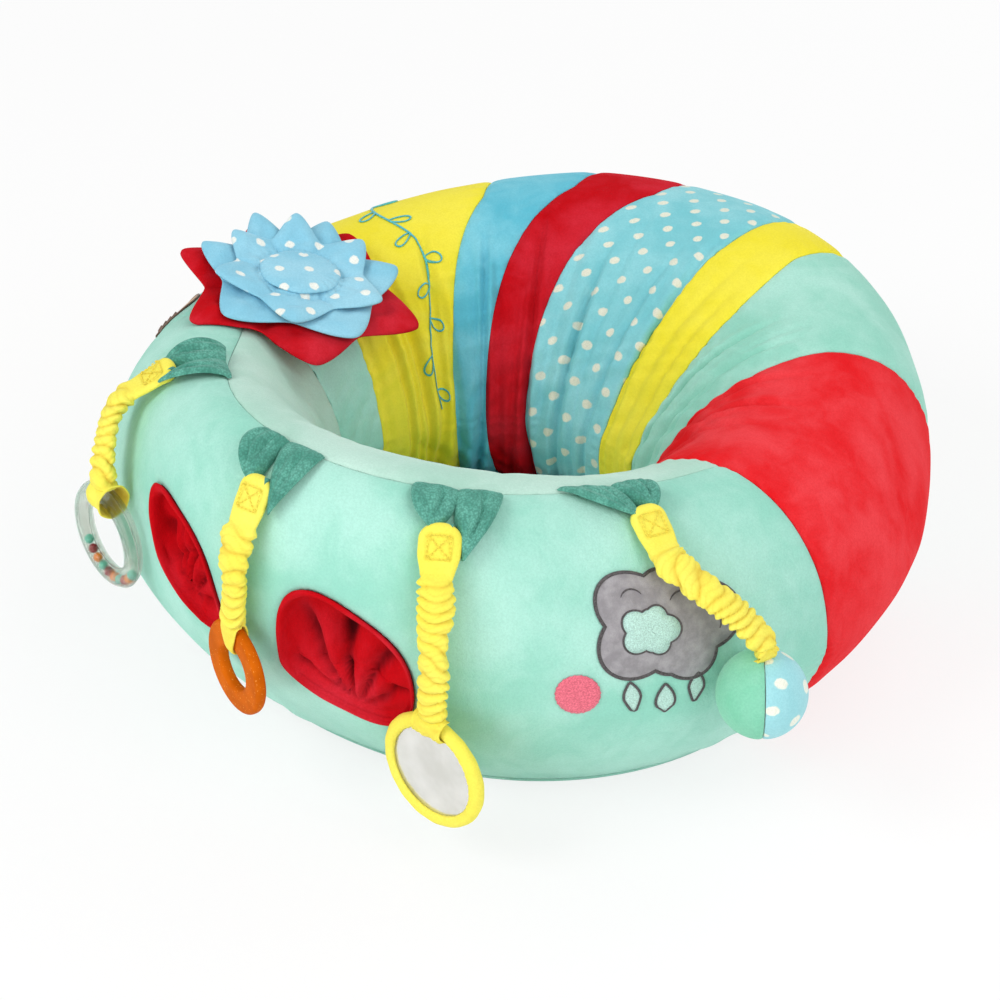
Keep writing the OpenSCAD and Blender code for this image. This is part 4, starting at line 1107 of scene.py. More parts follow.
def stitched_line(seat, where, x, y, half_w, high, closed=True, lift=0.2):
    """Raised satin line that follows the flat points (x, y): an oval carried along them."""
    pts = np.stack([x, y], -1)
    along = np.roll(pts, -1, 0) - np.roll(pts, 1, 0) if closed else np.gradient(pts, axis=0)
    d = unit(along)
    side = np.stack([-d[:, 1], d[:, 0]], -1)
    half_w = np.broadcast_to(half_w, x.shape)
    rings = []
    for q in turns(45.0):
        off = side * (half_w * cos(q))[:, None]
        rings.append(seat.beside(*where, x + off[:, 0], y + off[:, 1],
                                 lift + high * (0.5 + 0.5 * sin(q))))
    rings = np.array(rings).transpose(1, 0, 2)
    return endless(rings) if closed else tube(rings)


def cloud_edge(t):
    """Outline of a rounded cloud with five lobes, wider than high."""
    return 54 * (0.78 + 0.22 * np.abs(cos(t * 2.5))) * (0.72 + 0.28 * np.abs(cos(t)))


def nut_edge(t):
    """Outline of an acorn: a circle drawn in at its upper end and a little at its tip."""
    return 26 * (0.84 + 0.16 * sin(t)) * (1 - 0.10 * np.clip(-sin(t), 0, 1) ** 4)


def spot_edge(t):
    """Outline of the embroidered spot, a little uneven."""
    return 15 + 0.22 * sin(t * 23) + 0.15 * sin(t * 37)


def make_spot(seat):
    """Pink spot on the front."""
    closed_piece("patch_pink_spot", [patch(seat, SPOT_AT, spot_edge, 1.0, 120)], "seat",
                 finishes(seat)["thread_pink"], "pink_thread", ["pink_spot"])


def make_cloud(seat):
    """Cloud with a puffed patch of small stitches, three puff lines, and rain under it."""
    made = finishes(seat)
    closed_piece("patch_cloud", [patch(seat, CLOUD_AT, cloud_edge, 0.9, 160)], "seat",
                 made["felt_grey"], "grey_felt", ["cloud_applique"])
    t = turns(1.5)
    x, y = cloud_edge(t) * cos(t), cloud_edge(t) * sin(t)
    middle = np.array([-12.0, -5.0])
    inner_x, inner_y = middle[0] + x * 0.40, middle[1] + y * 0.40
    lines = [stitched_line(seat, CLOUD_AT, x, y, 1.35, 1.5),
             stitched_line(seat, CLOUD_AT, inner_x, inner_y, 0.7, 1.9)]
    # Puff lines: middle, radius, and the angles that they run between, thin at their ends
    for cx, cy, r, start, stop in ((14, 8, 11, 20, 150), (-22, 16, 8, 30, 160),
                                   (30, -6, 8, -40, 90)):
        u = np.linspace(start, stop, 40)
        half_w = 0.7 * np.sqrt(np.clip(sin((u - start) * 180 / (stop - start)), 0.02, 1))
        lines.append(stitched_line(seat, CLOUD_AT, cx + r * cos(u), cy + r * sin(u), half_w,
                                   1.9, False))
    # Drops: place, size and lean of each
    puffs, u = [], turns(5.0)
    for x, y, size, lean in ((-26, -50, 9.0, 8), (-4, -56, 10.5, 0), (17, -49, 8.5, -8)):
        top = np.clip(sin(u), 0, 1)
        out = size * (0.62 + 0.38 * sin(u)) * (1 - 0.35 * top ** 3) * (1 - 0.55 * top) * cos(u)
        up = size * 1.25 * sin(u)
        px, py = x + out * cos(lean) - up * sin(lean), y + out * sin(lean) + up * cos(lean)
        lines.append(stitched_line(seat, CLOUD_AT, px, py, 0.9, 1.3))
        puffs.append(puffed(seat, CLOUD_AT, px, py, (x, y), (
            (0.02, 0.2), (0.6, 0.2), (0.95, 0.3), (0.93, 0.9), (0.6, 1.0), (0.02, 1.0))))
    closed_piece("outline_cloud", lines, "seat", made["thread_charcoal"], "grey_felt", [])
    puffs.append(puffed(seat, CLOUD_AT, inner_x, inner_y, middle, (
        (0.02, 1.0), (0.5, 1.0), (0.97, 1.0), (0.96, 1.6), (0.6, 1.7), (0.3, 1.7), (0.02, 1.7))))
    closed_piece("stitched_rain", puffs, "seat", made["thread_mint"], "grey_felt", [])


def make_acorn(seat):
    """Acorn at the left shoulder: a nut, its cap with short lines, and their outline."""
    made = finishes(seat)
    closed_piece("patch_acorn", [patch(seat, ACORN_AT, nut_edge, 0.9, 96)], "seat",
                 made["felt_tan"], "tan_felt", ["acorn_applique"])
    u, brim = turns(4.0), -9
    cap_x = 23 * cos(u) * (1 - 0.12 * sin(u) ** 2)
    cap_y = brim - 9.5 * sin(u) * np.where(sin(u) > 0, 1.0, 0.35)
    cap = puffed(seat, ACORN_AT, cap_x, cap_y, (0, brim), (
        (0.02, 1.1), (0.6, 1.1), (0.98, 1.1), (1, 1.4), (0.97, 2), (0.6, 2.3), (0.02, 2.3)))
    closed_piece("patch_acorn_cap", [cap], "seat", made["felt_brown"], "tan_felt", [])
    t, v = turns(3.0), np.linspace(0, 1, 12)
    lines = [stitched_line(seat, ACORN_AT, nut_edge(t) * cos(t), nut_edge(t) * sin(t), 1.1, 1.5)]
    for x in (-12, -4, 4, 12):
        lines.append(stitched_line(seat, ACORN_AT, x * (1 - 0.15 * v),
                                   -7 - v * 9 * np.sqrt(1 - (x / 21) ** 2), 0.5, 2.7, False, 1.0))
    closed_piece("outline_acorn", lines, "seat", made["thread_brown"], "tan_felt", [])


def make_sprig(seat):
    """Sprig on the wide yellow band: a wavy stem with leaves on either side in turn."""
    def stem(v):
        """Flat place at a share of the stem: a straight line that sways in a sine."""
        return 9 * np.sin(v * 9.0), -112 + 224 * v
    u = turns(12.0)
    leaf_x, leaf_y = 7.5 + 7.5 * cos(u), 3.6 * sin(u) * (1 + 0.35 * cos(u))
    lines = [stitched_line(seat, SPRIG_AT, *stem(np.linspace(0, 1, 160)), 0.8, 1.1, False)]
    for k, at in enumerate(np.linspace(0.06, 0.94, 9)):
        (x, y), side, tip = stem(at), 1 if k % 2 else -1, 35 + 10 * math.sin(k * 2.1)
        px = x + side * (leaf_x * cos(tip) - leaf_y * sin(tip))
        py = y + leaf_x * sin(tip) + leaf_y * cos(tip)
        lines.append(stitched_line(seat, SPRIG_AT, px, py, 0.7, 1.1))
    closed_piece("stitched_sprig", lines, "seat", finishes(seat)["thread_turquoise"],
                 "yellow_velour", [])


def make_patches(seat):
    """The embroidered and sewn-on patches."""
    for make in (make_spot, make_cloud, make_acorn, make_sprig):
        make(seat)


# ------------------------------------------------------------------ bladder, valve and zip

def make_bladder(seat):
    """Vinyl ring under the cover, drawn in behind the pockets, the valve, the folds and the
    floor's edge, with a raised weld line round the top and the bottom."""
    a, psi = np.meshgrid(np.arange(-70, 290, 4.0), np.arange(-16, 344, 7.5), indexing="ij")
    q = np.where(psi > 180, psi - 360, psi)
    plain = 6.0
    inset = np.full(a.shape, plain)
    for pocket in (POCKET_LEFT, POCKET_RIGHT):
        share, _ = seat.pocket_share(pocket, a, q)
        behind = (seat.mm["pocket_depth"] + 7) * ease((1.75 - share) / 0.6)
        inset = np.maximum(inset, plain + behind)
    inset = inset + 17 * np.where(np.abs(q) < 13, ease((12 - np.abs(a - 180)) / 7), 0)
    inset = inset + 3.5 * ease((q - 75) / 20) * ease((a - 76) / 10) * ease((276 - a) / 10)
    inset = inset + 3.5 * ease((-q - 60) / 20) * (q < 0)
    weld = bell(np.minimum(np.abs(q - 118), np.abs(q + 70)) / 2.2)
    closed_piece("vinyl_ring", [endless(seat.skin(a, psi, inset - 0.8 * weld, seat.base_t + 0.6))],
                 "seat", vinyl("clear_vinyl"), "clear_vinyl", ["air_bladder"])


def zip_frame(seat):
    """Arc that the zip runs on: centre, radius, opening angle and tilt."""
    low, side = -35.0, 150.0
    end, mid = seat.skin(side, low), seat.skin(180.0, low)
    sag = mid[1] - end[1]
    r = (end[0] ** 2 + sag ** 2) / (2 * sag)
    n = seat.normal(180.0, low)
    return (np.array([0, mid[1] - r, (mid[2] + end[2]) / 2]), r,
            2 * math.degrees(math.asin(end[0] / r)), math.degrees(math.atan2(n[2], n[1])))


def zip_points(seat, along, x, y):
    """Points at an angle along the zip, x mm out of the wall and y mm up along it."""
    centre, r, arc, tilt = zip_frame(seat)
    q = 90 - arc / 2 + along
    out = r + x * cos(tilt) - y * sin(tilt)
    return centre + stack(out * cos(q), out * sin(q), x * sin(tilt) + y * cos(tilt))


def make_zip(seat):
    """Tape with a woven face and a stitched line near each edge, and two rows of coil teeth."""
    _, r, arc, _ = zip_frame(seat)
    along = np.linspace(0, arc, 180)[:, None]
    y = np.array([-10, -9.6, -8.6, -7.8, -7, -6.2, -3, -1, 0, 1, 3, 6.2, 7, 7.8, 8.6, 9.6, 10.0])
    wave = 0.12 * sin(along * 40) * (np.abs(y) / 10) ** 2
    line = 0.25 * bell((np.abs(y) - 7) / 0.5)
    cloth = woven("zip_weave", 0.9, 0.8, 1.2, (0.62, 0.72, 0.68), (0.86, 0.92, 0.88),
                  (1, 1, 0.15), (0.15, 0.15, 1), Roughness=0.85, Sheen_Weight=0.2)
    tape = shell(zip_points(seat, along, 1.8 + wave - line, y),
                 zip_points(seat, along, 0.8 + wave, y))
    closed_piece("zip_tape_woven", [tape], "seat", cloth, "zip_cloth", ["zip_tape"])

    pitch = 1.5
    count = int(arc / R2D * r / pitch)
    at = ((np.arange(count) + 0.5) * arc / count)[:, None]
    corner = np.array([(i, j, k) for i in (0, 1) for j in (0, 1) for k in (0, 1)], float)
    box = np.array([[0, 1, 3, 2], [4, 6, 7, 5], [0, 4, 5, 1], [2, 3, 7, 6], [0, 2, 6, 4],
                    [1, 5, 7, 3]])
    faces = (box[None] + np.arange(count)[:, None, None] * 8).reshape(-1, 4)
    rows = []
    for side in (-1, 1):
        # Each tooth has 8 corners: out of the wall, across, and along, narrower further out
        out, across, run = corner.T
        shift = (run - 0.5) * pitch * (0.62 - 0.2 * out) + side * 0.25 * pitch
        p = zip_points(seat, at + shift / r * R2D, 1.9 + out * 1.5, side * (0.2 + across * 1.7))
        rows.append((p, [faces]))
    coil = plastic("coil_plastic", (0.80, 0.85, 0.83), 0.4)
    ob = closed_piece("zip_coil", rows, "seat", coil, "zip_plastic", ["zip_teeth"])
    ob.data.polygons.foreach_set("use_smooth", np.zeros(len(ob.data.polygons), bool))
    metal = plastic("slider_metal", (0.82, 0.84, 0.85), 0.28, 0.5, 0.9)
    moulded = plastic("valve_plastic", (0.93, 0.94, 0.94), 0.4)
    for node, material in (("zip_slider", metal), ("zip_pull", metal), ("valve_seat", moulded),
                           ("valve_plug", moulded)):
        dress(node, material)


# ------------------------------------------------------------------ leaf tabs and straps

def tab_place(seat, tab):
    """Frame of a tab's hinge: x round the ring, y up the slope, z off the cloth."""
    a, psi = float(tab[1]), float(tab[2])
    y = unit(np.cross(seat.normal(a, psi), tangent(a)))
    z = unit(np.cross(tangent(a), y))
    return Place(tangent(a), y, z, seat.skin(a, psi, -HINGE_LIFT))


def leaf_blade(seat, tab, root, tip, arch, curl, twist, bow):
    """One terry blade from the seam to its tip.

    Its middle line runs from the root to the tip (x, lift) with a soft bow. Across it the
    cloth arches; "curl" rolls its outer edge under, and "twist" tips the blade sideways.
    """
    seam = top_seam(tab[0]) - 1.6
    v = np.linspace(0, 1, 40)[:, None]
    u = np.linspace(-1, 1, 22)[None, :]
    (x0, w0), (x1, y1, z1, w1) = root, tip
    half_wave = np.sin(v * math.pi)
    width = mix(w0, w1, v ** 1.5) * (1 - v ** 6 * 0.7) * (1 + 0.10 * half_wave)
    across = mix(x0, x1, v) + bow * half_wave + u * width
    up = arch * (0.35 + 0.65 * np.sin(v * math.pi * 0.85 + 0.25)) * (1 - u * u) ** 0.7
    rolled = 2.2 * np.clip(u * np.sign(twist), 0, 1) ** 2 * np.sin(v * math.pi * 0.8 + 0.3)
    lift = mix(0.5, z1, v ** 1.6) + up + curl * rolled + twist * u * v * 1.6
    # A deep fold along the middle, one beside it, and three soft lines
    crease = 1.7 * bell((u - 0.05 - 0.25 * np.sin(v * 4)) / 0.13) * half_wave
    crease = crease + 1.0 * bell((u + 0.52 - 0.2 * v) / 0.1) * half_wave ** 0.5
    for line, wide in ((-0.3, 0.09), (0.34, 0.11), (0.62, 0.08)):
        crease = crease + 1.5 * bell((u - line * (1.1 - 0.5 * v)) / wide) * np.sin(
            v * math.pi * 0.9 + 0.2)
    lift = np.maximum(lift - crease * arch / 5, 0.5)
    # Flat position: round the ring and up the section, from the hinge to the seam
    per = float(seat.per_degree(tab[1], (tab[2] + seam) / 2))
    psi = tab[2] + (mix((seam - tab[2]) * per, y1, v) + 0 * u) / per
    a = mix(tab[0], tab[1], v)
    a = a + across / seat.from_hollow(seat.skin(a, psi)) * R2D
    tucked = 0.6 * np.exp(-v * 30)
    thick = 2.6 * np.sqrt(np.clip(1 - np.abs(u) ** 6, 0.03, 1)) * np.sqrt(
        np.clip(1 - v ** 12, 0.05, 1))
    return shell(seat.cover(a, psi, lift + thick - tucked),
                 seat.cover(a, psi, np.maximum(lift - tucked, 0.25)))


def make_leaves(seat):
    """The four leaf tabs: two blades each, and the loop that holds the strap's bar."""
    q = turns(12.0)
    x = np.array([-8, -7.6, 7.6, 8.0])[:, None]
    bore, outer = (stack(x, r * cos(q), r * sin(q)) for r in (3.05, 4.5))
    for name, (tab, blades) in LEAVES.items():
        loop = tab_place(seat, tab)(np.concatenate([outer, bore[::-1]]))
        parts = [leaf_blade(seat, tab, *blade) for blade in blades]
        closed_piece("leaf_" + name, parts + [endless(loop)], "seat",
                     finishes(seat)["terry_leaf"], "green_terry", ["leaf_tab_" + name])


def bezier(p, t):
    """Cubic curve through its first and last points, drawn towards the two between."""
    t = np.asarray(t)[..., None]
    return ((1 - t) ** 3 * p[0] + 3 * (1 - t) ** 2 * t * p[1] + 3 * (1 - t) * t * t * p[2]
            + t ** 3 * p[3])


class Strap:
    """Where one strap hangs, what it holds and how it is gathered."""

    def __init__(self, seat, name, hang, turn, grip, leave, arrive, seed, patch_half):
        self.name, self.turn, self.seed, self.patch_half = name, turn, seed, patch_half
        self.place = tab_place(seat, LEAVES[name][0])
        y = self.place.y
        p0 = self.place.o - y * PATCH_LEN
        p3 = hang + np.array([0, 0, grip + LOOP_T - 0.8])
        self.curve = [p0, p0 - y * leave, p3 + np.array([0, 0, arrive]), p3]


def strap_body(strap, end_w, end_t):
    """Patch and gathered sleeve: ovals along the middle line.

    The patch is a padded flat end with a rounded top; the sleeve's ovals swell between
    sharp valleys whose places waver round the sleeve, as elastic draws cloth in. end_w and
    end_t are the half width and half thickness at the toy.
    """
    c = np.random.default_rng(strap.seed).uniform(0, 6.28, 8)
    t = np.linspace(0, 1, 400)
    line = bezier(strap.curve, t)
    far = np.concatenate([[0], np.cumsum(np.linalg.norm(np.diff(line, axis=0), axis=-1))])
    total, top = far[-1], 5.0           # the sleeve's length; patch above the hinge
    patch_s = np.concatenate([[0, 0.25, 0.6, 1.1, 1.8, 2.7, 3.8],
                              np.arange(5, PATCH_LEN + top, 0.9)])
    sleeve_s = np.arange(0.01, total, 0.85)
    o = np.concatenate([strap.place.o + strap.place.y * (top - patch_s)[:, None],
                        bezier(strap.curve, np.interp(sleeve_s, far, t))])
    from_top = np.concatenate([patch_s, sleeve_s + PATCH_LEN + top])[:, None]
    s = from_top - PATCH_LEN - top      # 0 where the sleeve starts
    to_end = ease((s - total + 14) / 12)
    d = unit(np.gradient(o, axis=0))
    d[:len(patch_s) - 2] = -strap.place.y
    side = unit(mix(strap.place.x, tangent(strap.turn), ease(s / total)))
    n = unit(np.cross(d, side))
    w = unit(np.cross(n, d))
    roll = 14 * np.sin(s / 24 + c[0]) * ease(s / 12) * ease((total - s) / 16)
    w, n = w * cos(roll) + n * sin(roll), n * cos(roll) - w * sin(roll)
    q = turns(7.5)[None, :]
    qr = np.radians(q)
    # Two rows of gathers, wide and narrow, between sharp valleys; none on the patch
    gather = ease((s + 4) / 10)
    phase = (s / 9.4 + 0.40 * np.sin(qr + c[1] + s / 14) + 0.16 * np.sin(2 * qr + c[2] - s / 10)
             + 0.55 * np.sin(s / 12 + c[3]))
    ridge = np.abs(np.sin(math.pi * phase)) ** 0.75
    phase = s / 6.3 + 0.7 * np.sin(qr + c[4] - s / 19) + 0.3 * np.sin(3 * qr + c[5])
    fine = np.abs(np.sin(math.pi * phase)) ** 0.9
    deep = 0.31 + 0.09 * np.sin(s / 8.5 + c[7] + 1.3 * np.sin(qr + c[2]))
    size = 1 + gather * (-0.24 + deep * ridge + 0.10 * fine + 0.07 * np.sin(s / 7 + c[6] + qr))

    def rounded(reach):
        """Quarter circle at the patch's top edge, reach mm long, and 1 after it."""
        return np.sqrt(np.clip(1 - (1 - from_top / reach) ** 2, 0.0, 1) ** (from_top < reach))
    half_w = mix(strap.patch_half, 10.6, ease((s + 16) / 18)) * rounded(11)
    half_w = mix(half_w, end_w, to_end)
    half_t = mix(mix(5.5, 3.1, ease((from_top - 4) / 12)), 6.3, ease((s + 3) / 9)) * rounded(5)
    half_t = mix(half_t, end_t, to_end)
    ox = half_w * size * signed_pow(cos(q), mix(0.55, 1.0, gather))
    oz = half_t * size * signed_pow(sin(q), mix(0.8, 1.0, gather))
    # The stitched box on the patch's face: a shallow groove along its sides and diagonals
    bx, by = np.abs(ox), np.abs(top - from_top + PATCH_MID)
    inside = np.maximum(bx, by)
    groove = bell((inside - BOX_HALF) / 0.8) + bell((bx - by) / 1.0) * (inside < BOX_HALF)
    groove = np.clip(groove, 0, 1) * (1 - gather)
    oz = oz + np.sign(oz) * ((1 - gather) * 0.5 * np.clip(1 - inside / 12, 0, 1) - 0.7 * groove)
    rings = o[:, None] + w[:, None] * ox[..., None] + n[:, None] * oz[..., None]
    # Painted shade: the darker fold colour in the valleys between the gathers and along the
    # stitched box's groove
    fold = np.clip(gather * ((1 - ridge) ** 2.2 * 0.85 + 0.30 * (1 - fine) ** 3) + 0.12 * groove,
                   0, 1)
    return *tube(rings), fold.ravel()


def box_stitches(strap):
    """Small thread stitches along the box and its diagonals on the patch's face."""
    corners = np.array([(-1, -1), (1, -1), (1, 1), (-1, 1)]) * BOX_HALF
    parts, q = [], turns(60.0)
    for start, end in ((0, 1), (1, 2), (2, 3), (3, 0), (0, 2), (1, 3)):
        a, b = corners[start], corners[end]
        count = int(np.linalg.norm(b - a) / 2.9)
        d = unit(b - a)
        for k in range(count):
            m0, m1 = mix(a, b, (k + 0.12) / count), mix(a, b, (k + 0.88) / count)
            rings = []
            for u, r in ((0, 0.12), (0.15, 0.42), (0.5, 0.5), (0.85, 0.42), (1, 0.12)):
                x, y = mix(m0, m1, u)
                y = y - PATCH_MID
                high = 3.55 + 0.35 * (1 - (2 * u - 1) ** 2) + 1.9 * ease((y + 15) / 12)
                rings.append(strap.place(stack(x - d[1] * r * cos(q), y + d[0] * r * cos(q),
                                               high + r * sin(q))))
            parts.append(tube(rings))
    return parts


def band_loop(place, y, z, half_w, thick):
    """Closed band round a path in a frame's y-z plane; half_w is its half width along x."""
    path = np.stack([y, z], -1)
    d = unit(np.roll(path, -1, 0) - np.roll(path, 1, 0))
    q = turns(20.0)[None, :]
    off = thick / 2 * signed_pow(sin(q), 0.7)
    return endless(place(stack(half_w[:, None] * signed_pow(cos(q), 0.5),
                               y[:, None] + d[:, 1:] * off, z[:, None] - d[:, :1] * off)))


def cup(place, half_w, r, thick, reach, pleats, spread):
    """Band that follows a circle of radius r in the frame's y-z plane as far as the angle
    "reach" to both sides of its top, with its ends closed. Pleats run across it."""
    u = np.linspace(-1, 1, 40)[:, None]
    q = turns(12.0)[None, :]
    end = np.sqrt(np.clip(1 - np.abs(u) ** 8, 0.04, 1))
    x = (half_w + spread * np.abs(u)) * signed_pow(cos(q), 0.6)
    out = r + thick / 2 * end * signed_pow(sin(q), 0.8) + pleats * np.sin(x * 1.45) * (sin(q) > 0)
    return tube(place(stack(x, out * sin(u * reach), out * cos(u * reach))))


def toy_place(at, turn):
    """Frame of a toy: x along its flat side, y up, z out of it."""
    return Place(tangent(turn), (0, 0, 1), outward(turn), at)


def make_strap(seat, strap, ends, end_w, end_t):
    """Joins the patch, sleeve, stitches and ends into one cloth piece.
    Each end is a solid and how much painted fold shade its cloth takes."""
    *body, fold = strap_body(strap, end_w, end_t)
    # The stitches take the darker fold colour at a flat share
    stitches = [(part, np.full(len(part[0]), 0.42)) for part in box_stitches(strap)]
    parts, folds = zip((body, fold), *stitches, *ends)
    ob = mesh_object("strap_" + strap.name, *joined(parts), values={"fold": np.concatenate(folds)})
    outward_faces(ob)
    ob.data.materials.append(finishes(seat)["velour_sleeve"])
    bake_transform(ob)
    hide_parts("strap_sleeve_" + strap.name)

    # Flat elastic inside the sleeve, a little wavy: half width, half thickness
    half_w, half_t = 3.1, 0.6
    t = np.linspace(0.09, 0.88, 60)
    o = bezier(strap.curve, t)
    n = unit(np.cross(unit(np.gradient(o, axis=0)), strap.place.x))
    w = unit(np.cross(n, np.gradient(o, axis=0)))
    q = turns(45.0) + 22.5
    rings = o[:, None] + w[:, None] * (half_w * signed_pow(cos(q), 0.5))[:, None] + n[:, None] * (
        half_t * signed_pow(sin(q), 0.5) + 0.3 * np.sin(t * 60)[:, None])[..., None]
    web = bpy.data.materials.get("elastic_web") or woven(
        "elastic_web", 0.7, 0.35, 0.65, (0.72, 0.72, 0.68), (0.92, 0.92, 0.89), (1, 1, 0.2),
        Roughness=0.8, Sheen_Weight=0.15)
    closed_piece("web_" + strap.name, [tube(rings)], "strap_" + strap.name, web, "white_elastic",
                 ["elastic_" + strap.name])


# ------------------------------------------------------------------ toys

def before_wall(seat, a, z, off):
    """Place off mm in front of the outer wall, at angle a and height z."""
    h = seat.height(a)
    zc = seat.belly * h
    if z > zc:
        psi = math.degrees(math.asin(((z - zc) / (h - zc)) ** (seat.top_round / 2)))
    else:
        low = (zc - z) / (zc * (1 + seat.settle))
        psi = -math.degrees(math.asin(low ** (seat.low_round / 2)))
    p = seat.skin(a, psi)
    return np.array([p[0], p[1], z]) + outward(a) * off


def revolve(place, profile, steps, wobble=None):
    """Closed ring: a closed profile (distance from the toy's middle, height off its face)
    carried round the frame's z axis. wobble(turn, r, z) may change it on the way."""
    turn = turns(360 / steps)[:, None]
    r, z = profile.T[:, None]
    if wobble is not None:
        r, z = wobble(turn, r, z)
    return endless(place(stack(r * cos(turn), r * sin(turn), z)))


def arc(cx, cy, r, start, stop, count):
    """Points of an arc in a profile."""
    t = np.linspace(start, stop, count)
    return np.stack([cx + r * cos(t), cy + r * sin(t)], -1)


def hollow_ball(outer, inner, open_end):
    """Closed solid between two grids that run from a pole round one axis: to the other pole,
    or to an open end whose two edges are joined."""
    n, m = outer.shape[:2]
    k, j = n * m, np.arange(m)
    last, after = (n - 1) * m + j, (n - 1) * m + (j + 1) % m
    side = quads(n, m, wrap_m=True)
    faces = [side, side[:, ::-1] + k, fan(j), fan(j, True) + k]
    if open_end:
        faces.append(np.stack([last, after, after + k, last + k], -1))
    else:
        faces += [fan(last, True), fan(last) + k]
    return np.concatenate([outer.reshape(-1, 3), inner.reshape(-1, 3)]), faces


def make_rattle(seat):
    """Clear ring of two welded halves with beads inside, and its strap."""
    facing = -14
    at = before_wall(seat, -29.5, 140, 8 + RATTLE_TUBE)
    place = toy_place(at, facing)
    hang = at + np.array([0, 0, RATTLE_R])
    strap = Strap(seat, "rattle", hang, facing, 7.4, 22, 22, 3, 12.2)
    # Wide soft cuff round the tube, flared at one end so that it shows its inside
    x = np.array([-9.5, -9.2, -8, -4, 0, 4, 7, 9.5, 11.2, 11.6, 11.0, 9, 6, 2, -3, -7.5, -9.0])
    r = np.array([8.2, 9.4, 10.6, 11.3, 11.2, 11.0, 11.4, 12.4, 12.9, 12.3, 11.4, 10.4, 9.4, 8.6,
                  8.0, 7.8, 7.8])
    q = turns(5.0)[:, None]
    out = r - 0.55 * np.abs(sin(q * 3.5 + 9 * x)) * (r > 10)
    cuff = endless(toy_place(hang, facing)(stack(x, out * sin(q), out * cos(q))))
    # Painted shade: the cuff's inner face takes the darker fold colour
    inside = np.tile(np.where(np.arange(len(x)) > 9, 0.75, 0.0), len(q))
    make_strap(seat, strap, [(cuff, inside)], 9.5, 8.0)

    clear, weld = clear_ring(), 0.05
    for name, s in (("front", 1), ("back", -1)):
        # Half of a hollow tube with an outer and an inner weld lip
        profile = np.concatenate([
            [(39.1, weld), (39.1, 0.7)], arc(RATTLE_R, 0, RATTLE_TUBE, 2, 178, 26)[1:-1],
            [(24.9, 0.7), (24.9, weld)], arc(RATTLE_R, 0, RATTLE_BORE, 177, 3, 24)])
        profile[:, 1] = np.maximum(profile[:, 1], 0.04) * s
        part = revolve(place, profile, 140)
        # The rim value marks the ring's inner and outer edges, seen face on, where shade is
        # painted
        off = part[0] - place.o
        edge = np.abs(np.hypot(off @ place.x, off @ place.y) - RATTLE_R)
        closed_piece("rattle_half_" + name, [part], "rattle_ring", clear, "smoky_clear_plastic",
                     ["rattle_ring_" + name], values={"rim": ease((edge - 4.0) / 2.3)})
    # Beads lie in the outer part of the bore, side by side round its lowest place
    bead_r, gap = 3.5, 0.3
    path = RATTLE_R + RATTLE_BORE - bead_r - gap
    pitch = 2 * math.degrees(math.asin((bead_r + gap / 2) / path))
    shades = [linear(rgb) for rgb in ((0.60, 0.04, 0.12), (0.95, 0.50, 0.0), (0.42, 0.78, 0.70))]
    t, q = np.linspace(1, 179, 12)[:, None], turns(20.0)[None, :]
    bead = (bead_r - 0.05) * stack(sin(t) * cos(q), sin(t) * sin(q), cos(t))
    beads, tones = [], []
    for i, pick in enumerate((2, 0, 1, 2, 0, 1, 2, 0, 1, 2)):
        turn = -90 + (i - 4.5) * pitch
        beads.append(tube(place(np.array([path * cos(turn), path * sin(turn), 0.0])) + bead))
        tones.append(np.tile(shades[pick], (bead[..., 0].size, 1)))
    closed_piece("beads", beads, "rattle_beads", bead_plastic(), "bead_plastic",
                 ["rattle_beads"], values={"tone": np.concatenate(tones)})


def make_teether(seat):
    """Flat rubber ring with rounded edges and shallow dimples, and its strap."""
    facing = -18
    at = before_wall(seat, 1.4, 113, 12.6 + TEETHER_HALF_T)
    place = toy_place(at, facing)
    mid, half = (TEETHER_R + TEETHER_HOLE) / 2, (TEETHER_R - TEETHER_HOLE) / 2
    hang = at + np.array([0, 0, mid])
    grip = half + 1.5
    strap = Strap(seat, "teether", hang, facing, grip, 20, 26, 5, 12.2)
    # Path round the flat band, and a width that narrows to a tongue in the hole
    q = turns(6.0)
    half_y, half_z = grip + 1.2, TEETHER_HALF_T + 0.3 + 1.2
    y, z = half_y * signed_pow(sin(q), 0.75), half_z * signed_pow(cos(q), 0.55)
    width = mix(4.4, 9.6, ease((y + half_y) / (2 * half_y) * 1.15))
    width = np.where(z < 0, np.minimum(width, 7.5), width)
    loop = band_loop(toy_place(hang, facing), y, z, width, 2.1)
    # Painted shade on the loop: an uneven share of the darker fold colour
    make_strap(seat, strap, [(loop, 0.12 + 0.2 * np.abs(ripple(loop[0], 7, 4)))], 8.8, 7.2)
    round_r = 3.2
    profile = np.concatenate([
        arc(mid + sx * (half - round_r), sy * (TEETHER_HALF_T - round_r), round_r, start,
            start + 90, 7)
        for sx, sy, start in ((1, 1, 0), (-1, 1, 90), (-1, -1, 180), (1, -1, 270))])

    def dimples(turn, r, z):
        """Twelve shallow dimples round both faces."""
        d = bell((r - mid) / 3.2) * (0.5 + 0.5 * cos(turn * 12)) ** 2
        return r, z - np.sign(z) * 0.35 * d
    closed_piece("teether_rubber", [revolve(place, profile, 180, dimples)], "teether",
                 rubber("orange_rubber", tuple(seat.paint.orange)), "orange_rubber",
                 ["teether_ring"])


